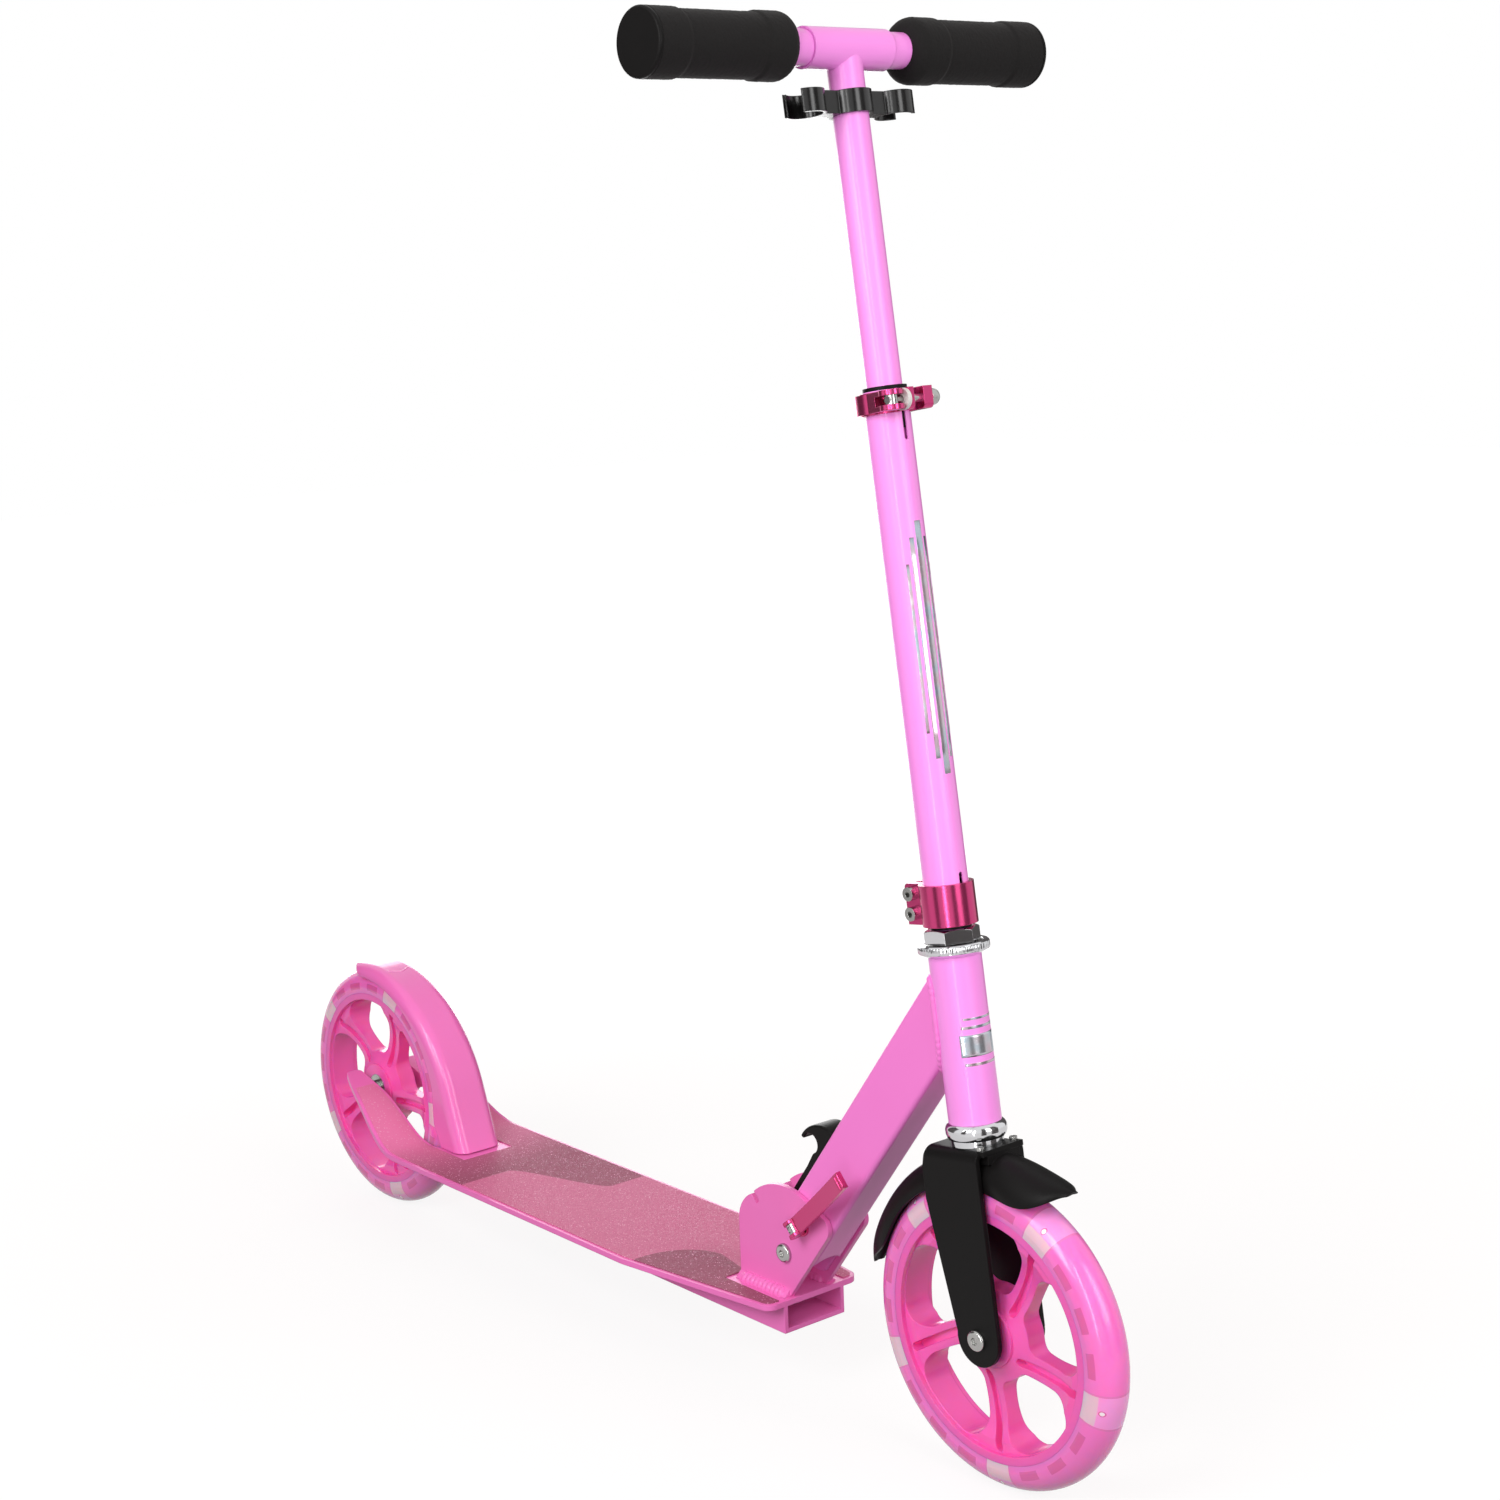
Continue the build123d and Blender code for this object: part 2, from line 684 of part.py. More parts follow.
# Fork: bent steel crown with two legs and a steerer tube
leg_outer = leg_inner + leg_t
leg_end_r = leg_front - 0.2
leg_corner = 4.0
leg_drop = 14.0
leg_straight = 34.0
screw_ahead = 16.5
screw_side = 14.5
screw_r = 1.8
screw_head_r = 2.6
screw_head_h = 2.2
with BuildPart() as fork:
    with BuildSketch(steer_side):
        with BuildLine():
            Polyline(
                (leg_front, 0),
                (leg_front, crown_top),
                (-leg_back + leg_corner, crown_top),
                (-leg_back, crown_top - leg_drop),
                (-leg_back, crown_top - leg_straight),
                (-leg_end_r * 0.98, leg_end_r * 0.2),
                (0, 0),
                close=True,
            )
        make_face()
        Circle(leg_end_r)
    extrude(amount=leg_outer, both=True)
    with BuildSketch(steer_across) as leg_gap:
        with Locations((0, crown_top - crown_t)):
            Rectangle(2 * leg_inner, wheel_r * 2.4, align=(Align.CENTER, Align.MAX))
        fillet(leg_gap.vertices().group_by(Axis.Y)[-1], crown_bend_r - leg_t)
    extrude(amount=wheel_r, both=True, mode=Mode.SUBTRACT)
    fillet(fork.edges().filter_by(Axis(front_axle, ahead_dir)).group_by(Axis.Z)[-1], crown_bend_r)
    with BuildSketch(steer.offset(crown_top - crown_t)):
        with Locations((leg_front - 1, 0)):
            Rectangle(crown_tongue - leg_front + 1, 2 * leg_inner, align=(Align.MIN, Align.CENTER))
    extrude(amount=crown_t)
    with BuildSketch(steer.offset(crown_top - crown_t)):
        with Locations((screw_ahead, screw_side), (screw_ahead, -screw_side)):
            Circle(screw_r)
    extrude(amount=crown_t, mode=Mode.SUBTRACT)
    with BuildSketch(steer.offset(crown_top - crown_t)):
        Circle(steerer_r)
    extrude(amount=clamp_top - crown_top + crown_t)
    with BuildSketch(steer.offset(crown_top - crown_t)):
        Circle(steerer_r - steerer_wall)
    extrude(amount=clamp_top, mode=Mode.SUBTRACT)
    with BuildSketch(steer_side):
        Circle(axle_r + axle_fit)
    extrude(amount=leg_outer * 2, both=True, mode=Mode.SUBTRACT)
pieces["fork"] = fork

# Front mudguard: a thin arched shell lofted from tail to beak through stations round the axle,
# each an angle, the crest's height over the tread, the half width and the depth of the arch
guard_t = 2.5
guard_pad = 5.5
guard_stations = [
    (164, 13.5, 4.5, 3),
    (158, 13, 11, 9),
    (150, 12.5, 16, 16.5),
    (135, 12.5, 16.8, 17),
    (112, 13.5, 16.4, 17),
    (90, 15.3, 16, 19),
    (80, 17.2, 15.8, 22.5),
    (72, 18, 18.4, 22),
    (64, 19, 20, 20),
    (58, 21, 18.5, 15.5),
    (54.5, 22.8, 12.5, 9),
    (51.8, 24.4, 5, 3),
]
with BuildPart() as front_mudguard:
    for angle, rise, half, drop in guard_stations:
        out = ahead_dir * cos(radians(angle)) + steer_dir * sin(radians(angle))
        crest = wheel_r + rise
        edge = crest - drop
        with BuildSketch(Plane(origin=front_axle, x_dir=(0, 1, 0), z_dir=Vector(0, 1, 0).cross(out))):
            with BuildLine():
                ThreePointArc((-half, edge), (0, crest), (half, edge))
                Line((half, edge), (half - guard_t, edge))
                ThreePointArc((half - guard_t, edge), (0, crest - guard_t), (guard_t - half, edge))
                Line((guard_t - half, edge), (-half, edge))
            make_face()
    loft()
    with BuildSketch(steer.offset(crown_top - crown_t)):
        with Locations((screw_ahead, 0)):
            Rectangle(2 * (crown_tongue - screw_ahead), 2 * (leg_inner - crown_bend_r + leg_t))
    extrude(amount=-guard_pad)
pieces["front_mudguard"] = front_mudguard

with BuildPart() as mudguard_screws:
    with BuildSketch(steer.offset(crown_top)):
        with Locations((screw_ahead, screw_side), (screw_ahead, -screw_side)):
            Circle(screw_head_r)
    extrude(amount=screw_head_h)
    with BuildSketch(steer.offset(crown_top - crown_t)):
        with Locations((screw_ahead, screw_side), (screw_ahead, -screw_side)):
            Circle(screw_r)
    extrude(amount=crown_t)
pieces["mudguard_screws"] = mudguard_screws

# Axles with button heads on the near side, and their spacers
axle_head_r = 6.8
spacer_r = 6.2
bearing_play = 0.15
shoulder_r = spacer_r + 0.8


def axle_set(name, plane, seat):
    pieces[name + "_axle_bolt"] = socket_bolt(plane, -seat, seat + nut_h, axle_r, axle_head_r, bolt_head_h)
    pieces[name + "_axle_nut"] = hex_nut(plane, seat, seat + nut_h, axle_r * 1.8, axle_r + axle_fit)
    with BuildPart() as spacers:
        for start, end in (
            (-seat_inner[name], -hub_half - bearing_play),
            (hub_half + bearing_play, seat_inner[name]),
            (bearing_w - hub_half + bearing_play, hub_half - bearing_w - bearing_play),
        ):
            with BuildSketch(plane.offset(start)):
                Circle(spacer_r)
                Circle(axle_r + axle_fit, mode=Mode.SUBTRACT)
            extrude(amount=end - start)
    pieces[name + "_spacers"] = spacers


seat_inner = {"front": leg_inner, "rear": slot_half}
front_axis = Plane(origin=front_axle, x_dir=(1, 0, 0), z_dir=(0, 1, 0))
rear_axis = Plane(origin=rear_axle, x_dir=(1, 0, 0), z_dir=(0, 1, 0))
axle_set("front", front_axis, leg_outer)
axle_set("rear", rear_axis, slot_half + dropout_t)


# Wheels: rim with curved double-rib spokes, tongue, tyre, bearings and light modules
def wheel(name, axle, angle):
    side = Plane(origin=axle, x_dir=(1, 0, 0), z_dir=(0, -1, 0))
    axis_plane = Plane(origin=axle, x_dir=(1, 0, 0), z_dir=(0, 1, 0))
    radial = Plane(origin=axle, x_dir=(1, 0, 0), z_dir=(0, 0, 1))
    turn = Axis(axle, (0, 1, 0))
    spoke_mid = (hub_r + rim_r) / 2
    crown_r = wheel_r - tyre_half
    with BuildLine() as spoke_line:
        ThreePointArc(
            polar(hub_r * 0.9, angle - spoke_sweep * 1.15),
            polar(spoke_mid, angle - spoke_sweep * 0.28),
            polar(rim_r - spoke_w / 2 - 2 * rim_step, angle),
        )
    with BuildLine() as groove_line:
        ThreePointArc(
            polar(hub_r + groove_w, angle - spoke_sweep * 0.95),
            polar(spoke_mid, angle - spoke_sweep * 0.28),
            polar(ring_inner_r - groove_w / 2, angle - spoke_sweep * 0.02),
        )
    with BuildPart() as rim:
        with BuildSketch(side):
            Circle(rim_r - rim_step * 4)
            Circle(ring_inner_r, mode=Mode.SUBTRACT)
            Circle(hub_web_r)
            with PolarLocations(0, spoke_count):
                SlotArc(spoke_line.edges()[0], spoke_w)
        extrude(amount=web_half, both=True)
        upright = rim.edges().filter_by(Axis.Y).filter_by(GeomType.LINE)
        fillet([e for e in upright if abs((e.center() - axle).length - hub_web_r) < 0.1], hub_blend_r)
        upright = rim.edges().filter_by(Axis.Y).filter_by(GeomType.LINE)
        fillet([e for e in upright if abs((e.center() - axle).length - ring_inner_r) < 0.1], spoke_blend_r)
        with BuildSketch(side):
            Circle(bearing_r + rim_step * 6)
        extrude(amount=web_half, both=True, mode=Mode.SUBTRACT)
        with BuildSketch(radial):
            with Locations((ring_inner_r + rim_step, 0)):
                Rectangle(rim_r - ring_inner_r - rim_step, 2 * rim_half, align=(Align.MIN, Align.CENTER))
            with Locations((rim_r, 0)):
                Rectangle(tongue_r - rim_r, 2 * tongue_half, align=(Align.MIN, Align.CENTER))
        revolve(axis=turn)
        with BuildSketch(side):
            with PolarLocations((light_floor + tongue_r) / 2, light_count, start_angle=angle + 180 / light_count):
                Rectangle(tongue_r - light_floor, light_len)
        extrude(amount=tongue_half, both=True, mode=Mode.SUBTRACT)
        for face in (1, -1):
            with BuildSketch(radial):
                with BuildLine():
                    ThreePointArc(
                        (hub_r, face * web_half), (spoke_mid, face * dish_half), (ring_inner_r, face * rim_half)
                    )
                    Polyline((ring_inner_r, face * rim_half), (hub_r, face * rim_half), (hub_r, face * web_half))
                make_face()
            revolve(axis=turn, mode=Mode.SUBTRACT)
            with BuildSketch(side.offset(face * groove_floor)):
                with PolarLocations(0, spoke_count):
                    SlotArc(groove_line.edges()[0], groove_w)
            extrude(amount=face * (web_half - groove_floor), mode=Mode.SUBTRACT)
        with BuildSketch(radial):
            with Locations((shoulder_r, 0)):
                Rectangle(hub_r - rim_step * 2 - shoulder_r, 2 * hub_half, align=(Align.MIN, Align.CENTER))
            for face in (1, -1):
                with Locations((0, face * hub_half)):
                    Rectangle(bearing_r, 2 * bearing_w, align=(Align.MIN, Align.CENTER), mode=Mode.SUBTRACT)
        revolve(axis=turn)
    pieces[name + "_rim"] = rim
    with BuildPart() as lights:
        with BuildSketch(side):
            with PolarLocations((light_floor + tongue_r) / 2, light_count, start_angle=angle + 180 / light_count):
                Rectangle(tongue_r - light_floor - light_gap, light_len)
        extrude(amount=tongue_half, both=True)
    pieces[name + "_lights"] = lights
    with BuildPart() as tyre:
        with BuildSketch(radial):
            with BuildLine():
                ThreePointArc((crown_r, -tyre_half), (wheel_r, 0), (crown_r, tyre_half))
                Polyline(
                    (crown_r, tyre_half),
                    (rim_r, rim_half),
                    (rim_r, tongue_half),
                    (tongue_r, tongue_half),
                    (tongue_r, -tongue_half),
                    (rim_r, -tongue_half),
                    (rim_r, -rim_half),
                    (crown_r, -tyre_half),
                )
            make_face()
        revolve(axis=turn)
    pieces[name + "_tyre"] = tyre
    with BuildPart() as bearings:
        for start in (-hub_half, hub_half - bearing_w):
            with BuildSketch(axis_plane.offset(start)):
                Circle(bearing_r)
                Circle(axle_r + axle_fit, mode=Mode.SUBTRACT)
            extrude(amount=bearing_w)
    pieces[name + "_bearings"] = bearings


wheel("front", front_axle, front_spoke_angle)
wheel("rear", rear_axle, rear_spoke_angle)

# Lower steering tube, slit at the front at both ends, on the steerer
tube_inner_r = steerer_r + steerer_fit
slit_w = 3.0
upper_slit = 30.0
lower_slit = 31.0
with BuildPart() as steering_tube:
    with BuildSketch(steer.offset(tube_bottom)):
        Circle(tube_r)
        Circle(tube_inner_r, mode=Mode.SUBTRACT)
    extrude(amount=tube_top - tube_bottom)
    with BuildSketch(steer_across):
        with Locations((0, tube_top)):
            Rectangle(slit_w, upper_slit, align=(Align.CENTER, Align.MAX))
        with Locations((0, tube_top - upper_slit)):
            Circle(slit_w / 2)
        with Locations((0, tube_bottom)):
            Rectangle(slit_w, lower_slit, align=(Align.CENTER, Align.MIN))
        with Locations((0, tube_bottom + lower_slit)):
            Circle(slit_w / 2)
    extrude(amount=tube_r * 1.2, mode=Mode.SUBTRACT)
pieces["steering_tube"] = steering_tube

# Double-bolt clamp with its ears at the rear
clamp_wall = 3.3
clamp_ear = 29.0
clamp_ear_half = 8.0
clamp_gap = 2.6
clamp_bolt_back = 22.5
clamp_bolt_r = 2.5
clamp_bolt_pitch = 12.6
clamp_edge_r = 2.5
clamp_mid = (tube_bottom + clamp_top) / 2 + 0.6
clamp_spots = [
    (-clamp_bolt_back, clamp_mid + clamp_bolt_pitch / 2),
    (-clamp_bolt_back, clamp_mid - clamp_bolt_pitch / 2),
]
with BuildPart() as lower_clamp:
    with BuildSketch(steer.offset(tube_bottom)):
        Circle(tube_r + clamp_wall)
        Rectangle(clamp_ear, 2 * clamp_ear_half, align=(Align.MAX, Align.CENTER))
        Circle(tube_r, mode=Mode.SUBTRACT)
        Rectangle(clamp_ear * 2, clamp_gap, align=(Align.MAX, Align.CENTER), mode=Mode.SUBTRACT)
    extrude(amount=clamp_top - tube_bottom)
    with BuildSketch(steer_side):
        with Locations(*clamp_spots):
            Circle(clamp_bolt_r)
    extrude(amount=clamp_ear, both=True, mode=Mode.SUBTRACT)
    fillet(lower_clamp.edges().filter_by(Axis(front_axle, (0, 1, 0))).group_by(Axis.X)[0], clamp_edge_r)
pieces["lower_clamp"] = lower_clamp
with BuildPart() as clamp_bolts:
    with BuildSketch(steer_side.offset(-clamp_ear_half)):
        with Locations(*clamp_spots):
            Circle(clamp_bolt_r)
    extrude(amount=2 * clamp_ear_half)
    with BuildSketch(steer_side.offset(clamp_ear_half)):
        with Locations(*clamp_spots):
            Circle(clamp_bolt_r * 1.75)
            RegularPolygon(clamp_bolt_r * 0.85, 6, mode=Mode.SUBTRACT)
    extrude(amount=clamp_bolt_r * 1.8)
pieces["clamp_bolts"] = clamp_bolts

# Quick-release collar at the tube's top, with a cross bolt ahead of the tube
collar_wall = 2.2
ear_ahead = 27.0
bolt_ahead = 22.5
near_ear = (-6.2, -2.0)
far_ear = (6.0, 13.4)
qr_bolt_r = 2.5
qr_fit = 0.1
qr_washer_t = 3.0
qr_nut_len = 7.5
qr_cam_r = 7.5
qr_barrel_r = 4.0
qr_lever_gap = 0.4
qr_lever_t = 2.6
qr_lever_h = 12.2
collar_edge_r = 3.0
collar_mid = (collar_bottom + collar_top) / 2
barrel_side = near_ear[0] - qr_washer_t - qr_cam_r - qr_lever_gap
with BuildPart() as qr_collar:
    with BuildSketch(steer.offset(collar_bottom)):
        Circle(tube_r + collar_wall)
        for low, high in (near_ear, far_ear):
            with Locations((0, low)):
                Rectangle(ear_ahead, high - low, align=(Align.MIN, Align.MIN))
        Circle(tube_r, mode=Mode.SUBTRACT)
        with Locations((0, near_ear[1])):
            Rectangle(ear_ahead, far_ear[0] - near_ear[1], align=(Align.MIN, Align.MIN), mode=Mode.SUBTRACT)
    extrude(amount=collar_top - collar_bottom)
    with BuildSketch(steer_side):
        with Locations((bolt_ahead, collar_mid)):
            Circle(qr_bolt_r + qr_fit)
    extrude(amount=ear_ahead, both=True, mode=Mode.SUBTRACT)
    fillet(qr_collar.edges().filter_by(Axis(front_axle, (0, 1, 0))).group_by(Axis.X)[-1], collar_edge_r)
pieces["qr_collar"] = qr_collar
qr_point = front_axle + ahead_dir * bolt_ahead + steer_dir * collar_mid
qr_axis = Plane(origin=qr_point, x_dir=ahead_dir, z_dir=(0, 1, 0))
pieces["qr_bolt"] = sleeve(qr_axis, barrel_side - qr_barrel_r * 0.9, far_ear[1] + qr_nut_len * 0.7, qr_bolt_r)
pieces["qr_washer"] = sleeve(qr_axis, near_ear[0] - qr_washer_t, near_ear[0], qr_cam_r * 0.9, qr_bolt_r + qr_fit)
with BuildPart() as qr_nut:
    with BuildSketch(qr_axis.offset(far_ear[1])):
        Circle(qr_bolt_r * 2)
    extrude(amount=qr_nut_len)
    fillet(qr_nut.edges().sort_by(Axis.Y)[-1], qr_bolt_r * 1.4)
    with BuildSketch(qr_axis.offset(far_ear[1])):
        Circle(qr_bolt_r)
    extrude(amount=qr_nut_len * 0.7, mode=Mode.SUBTRACT)
pieces["qr_nut"] = qr_nut
qr_pin = Plane(origin=qr_point + Vector(0, barrel_side, 0), x_dir=ahead_dir, z_dir=steer_dir)
with BuildPart() as qr_barrel:
    with BuildSketch(qr_pin):
        Circle(qr_barrel_r)
    extrude(amount=qr_lever_h / 2, both=True)
    with BuildSketch(qr_axis.offset(barrel_side - qr_barrel_r)):
        Circle(qr_bolt_r)
    extrude(amount=2 * qr_barrel_r, mode=Mode.SUBTRACT)
pieces["qr_barrel"] = qr_barrel
lever_in = tube_r + collar_wall + qr_lever_gap
lever_out = lever_in + qr_lever_t
lever_edge = near_ear[0] - qr_washer_t - 2 * qr_lever_gap
with BuildPart() as qr_lever:
    with BuildSketch(steer.offset(collar_mid - qr_lever_h / 2)):
        Circle(lever_out)
        with Locations((0, lever_edge)):
            Rectangle(4 * lever_out, 4 * lever_out, align=(Align.CENTER, Align.MIN), mode=Mode.SUBTRACT)
        with BuildLine():
            Polyline(
                (0, -lever_in - qr_lever_t / 2),
                (bolt_ahead, barrel_side - qr_cam_r),
                (bolt_ahead + qr_cam_r * 0.5, barrel_side),
                (lever_in * 0.86, lever_edge),
                close=True,
            )
        make_face()
        with Locations((bolt_ahead, barrel_side)):
            Circle(qr_cam_r)
        Circle(lever_in, mode=Mode.SUBTRACT)
        with Locations((bolt_ahead, barrel_side)):
            Circle(qr_barrel_r + qr_fit, mode=Mode.SUBTRACT)
    extrude(amount=qr_lever_h)
    with BuildSketch(qr_pin):
        Circle(qr_cam_r * 1.4)
    extrude(amount=qr_bolt_r + qr_lever_gap, both=True, mode=Mode.SUBTRACT)
pieces["qr_lever"] = qr_lever

# Bush between the two tubes
bush_flange = 2.4
with BuildPart() as tube_bush:
    with BuildSketch(steer.offset(tube_top - upper_slit * 0.8)):
        Circle(tube_inner_r - stem_fit)
        Circle(stem_r + stem_fit, mode=Mode.SUBTRACT)
    extrude(amount=upper_slit * 0.8)
    with BuildSketch(steer.offset(tube_top)):
        Circle(tube_r - race_gap)
        Circle(stem_r + stem_fit, mode=Mode.SUBTRACT)
    extrude(amount=bush_flange)
pieces["tube_bush"] = tube_bush

# T-bar: stem with a guide foot, and the cross tube
foot_len = 12.0
with BuildPart() as t_bar:
    with BuildSketch(steer.offset(stem_foot)):
        Circle(stem_r)
    extrude(amount=bar_height - stem_foot)
    with BuildSketch(steer.offset(stem_foot)):
        Circle(tube_inner_r - stem_fit)
    extrude(amount=foot_len)
    with BuildSketch(bar_plane):
        Circle(tee_r)
    extrude(amount=tee_half, both=True)
    with BuildSketch(steer.offset(stem_foot)):
        Circle(stem_r - stem_wall)
    extrude(amount=bar_height - stem_foot, mode=Mode.SUBTRACT)
    with BuildSketch(bar_plane):
        Circle(tee_bore_r)
    extrude(amount=tee_half, both=True, mode=Mode.SUBTRACT)
pieces["t_bar"] = t_bar

# Stowage clip on the stem: a ring with an outward C on each side
clip_wall = 3.2
clip_c_r = 10.6
clip_c_wall = 2.2
clip_c_side = 36.5
clip_mouth = 17.0
with BuildPart() as stowage_clip:
    with BuildSketch(steer.offset(clip_bottom)):
        for side in (1, -1):
            with Locations((0, side * clip_c_side)):
                Circle(clip_c_r + clip_c_wall)
            Rectangle(clip_c_r, 2 * (clip_c_side - clip_c_r), align=(Align.CENTER, Align.CENTER))
        Circle(stem_r + clip_wall)
        for side in (1, -1):
            with Locations((0, side * clip_c_side)):
                Circle(clip_c_r, mode=Mode.SUBTRACT)
            with Locations((0, side * (clip_c_side + clip_c_r + clip_c_wall))):
                Rectangle(clip_mouth, clip_c_r, mode=Mode.SUBTRACT)
        Circle(stem_r, mode=Mode.SUBTRACT)
    extrude(amount=clip_top - clip_bottom)
pieces["stowage_clip"] = stowage_clip


# Half handlebars with foam grips and end caps
def half_bar(name, side):
    pieces["handlebar_" + name] = sleeve(bar_plane, side * bar_inner, side * grip_outer, bar_r, bar_r - stem_wall)
    with BuildPart() as grip:
        with BuildSketch(bar_side):
            with BuildLine():
                ThreePointArc(
                    (side * grip_inner, grip_r - grip_shoulder_r),
                    (side * (grip_inner + grip_shoulder_r * 0.29), grip_r - grip_shoulder_r * 0.29),
                    (side * (grip_inner + grip_shoulder_r), grip_r),
                )
                Polyline(
                    (side * (grip_inner + grip_shoulder_r), grip_r),
                    (side * (grip_inner + grip_band + grip_step), grip_r),
                    (side * (grip_inner + grip_band + 2 * grip_step), grip_waist_r),
                    (side * (grip_outer - grip_band - grip_step), grip_waist_r),
                    (side * (grip_outer - grip_band), grip_r),
                    (side * grip_outer, grip_r),
                    (side * grip_outer, bar_r),
                    (side * grip_inner, bar_r),
                    (side * grip_inner, grip_r - grip_shoulder_r),
                )
            make_face()
        revolve(axis=Axis(bar_plane.origin, (0, 1, 0)))
    pieces["grip_" + name] = grip
    with BuildPart() as cap:
        with BuildSketch(bar_plane.offset(side * grip_outer)):
            Circle(grip_r)
        extrude(amount=side * cap_t)
        fillet(cap.edges().sort_by(Axis.Y)[-1 if side > 0 else 0], cap_t * 0.6)
        with BuildSketch(bar_plane.offset(side * grip_outer)):
            Circle(bar_r - stem_wall)
        extrude(amount=-side * cap_t * 6)
    pieces["end_cap_" + name] = cap


half_bar("left", 1)
half_bar("right", -1)

# Rear fender: a moulded channel over the wheel, on a pin in the deck lug
foot_z = deck_top + fender_gap - wheel_r
front_wall = fender_wall / sin(radians(fender_slope))
fender_inner_r = fender_r - fender_wall
lip_overrun = 4.0
outer_low = (fender_foot_front - (fender_brow - foot_z) / tan(radians(fender_slope)), fender_brow)
inner_low = (outer_low[0] - front_wall, fender_brow)
inner_base = foot_z - fender_wall
inner_toe = fender_foot_front - front_wall + fender_wall / tan(radians(fender_slope))
skirt_end = polar(skirt_r, lip_angle + lip_overrun)


def fender_solid(r, end, low, toe, base, half, edge_r):
    """Solid from the axle out to radius r with a sloping front, its upper edges rounded."""
    with BuildPart() as body:
        with BuildSketch(rear_side):
            with BuildLine():
                Line((0, 0), polar(r, end))
                ThreePointArc(polar(r, end), polar(r, (end + lip_blend) / 2), polar(r, lip_blend))
                TangentArc(
                    polar(r, lip_blend), low, tangent=(sin(radians(lip_blend)), -cos(radians(lip_blend)))
                )
                Polyline(low, (toe, base), (0, base), (0, 0))
            make_face()
        extrude(amount=half, both=True)
        rims = body.faces().filter_by(Axis.Y).edges()
        far = [e for e in rims if (e @ 0.5 - rear_axle).length > r - fender_wall]
        fillet([e for e in far if (e @ 0.5).Z > deck_top + fender_wall], edge_r)
    return body.part


with BuildPart() as rear_fender:
    add(fender_solid(fender_r, lip_angle, outer_low, fender_foot_front, foot_z, fender_half, fender_shoulder_r))
    with BuildSketch() as fender_plan:
        with Locations((rear_x + fender_r * cos(radians(lip_angle)), 0)):
            Rectangle(wheel_r * 2, 2 * fender_half, align=(Align.MIN, Align.CENTER))
        fillet(fender_plan.vertices().group_by(Axis.X)[0], lip_round_r)
    extrude(amount=wheel_r * 3, mode=Mode.INTERSECT)
    add(
        fender_solid(
            fender_inner_r,
            lip_angle + lip_overrun,
            inner_low,
            inner_toe,
            inner_base,
            fender_half - fender_wall,
            fender_shoulder_r - fender_wall,
        ),
        mode=Mode.SUBTRACT,
    )
    with BuildSketch(rear_side):
        with BuildLine():
            Polyline(skirt_end, (0, 0), (0, inner_base), (fender_foot_back, inner_base))
            Polyline(
                (fender_foot_back, inner_base),
                (fender_foot_back, foot_z),
                (skirt_r, foot_z + skirt_low),
                (skirt_r, foot_z + skirt_high),
            )
            ThreePointArc((skirt_r, foot_z + skirt_high), polar(skirt_r + 1, lip_angle - skirt_high), skirt_end)
        make_face()
    extrude(amount=2 * fender_half, both=True, mode=Mode.SUBTRACT)
    with BuildSketch(Plane.XZ):
        with Locations((pin_x, pin_z)):
            Circle(fender_pin_r + qr_fit)
    extrude(amount=fender_pin_half + fender_pin_play, both=True, mode=Mode.SUBTRACT)
pieces["rear_fender"] = rear_fender
pin_axis = Plane(origin=(pin_x, 0, pin_z), x_dir=(1, 0, 0), z_dir=(0, 1, 0))
pieces["fender_pin"] = sleeve(pin_axis, -fender_pin_half, fender_pin_half, fender_pin_r)

for label, piece in pieces.items():
    piece.part.label = label
    export_step(piece.part, f"parts/{label}.step")
    print(label, len(piece.part.solids()), round(piece.part.volume))
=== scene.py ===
import math

import bpy
import numpy as np
from mathutils import Matrix, Vector


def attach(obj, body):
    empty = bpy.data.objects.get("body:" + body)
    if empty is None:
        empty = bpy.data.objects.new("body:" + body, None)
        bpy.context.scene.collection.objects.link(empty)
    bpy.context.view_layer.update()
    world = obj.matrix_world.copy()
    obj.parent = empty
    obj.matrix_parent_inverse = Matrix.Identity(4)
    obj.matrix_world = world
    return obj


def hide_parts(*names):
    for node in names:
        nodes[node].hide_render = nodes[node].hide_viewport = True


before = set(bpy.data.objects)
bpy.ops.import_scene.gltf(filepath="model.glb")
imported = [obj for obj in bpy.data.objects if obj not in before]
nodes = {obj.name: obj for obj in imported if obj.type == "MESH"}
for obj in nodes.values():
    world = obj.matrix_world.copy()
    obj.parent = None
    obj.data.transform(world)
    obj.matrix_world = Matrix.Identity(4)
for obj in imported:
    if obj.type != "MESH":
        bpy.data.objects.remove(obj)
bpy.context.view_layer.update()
scene = bpy.context.scene
scene.view_settings.view_transform = "Standard"
print("frame loaded with", len(nodes), "nodes")

# driving places of the scooter, metres, in the shared frame
scooter = {
    "frontAxle": np.array((0.355, 0.0, 0.1)),
    "rearAxle": np.array((-0.355, 0.0, 0.1)),
    "rake": math.radians(8.0),
    "neckAngle": math.radians(53.0),
    "pivot": np.array((0.172, 0.0, 0.1045)),
    "deckTop": 0.074,
}
steerDir = np.array((-math.sin(scooter["rake"]), 0, math.cos(scooter["rake"])))
aheadDir = np.array((math.cos(scooter["rake"]), 0, math.sin(scooter["rake"])))
sideDir = np.array((0.0, 1.0, 0.0))
neckDir = np.array((math.cos(scooter["neckAngle"]), 0, math.sin(scooter["neckAngle"])))
neckUp = np.array((-math.sin(scooter["neckAngle"]), 0, math.cos(scooter["neckAngle"])))
mmPerMetre = 1000  # the looks below give their patterns in millimetres


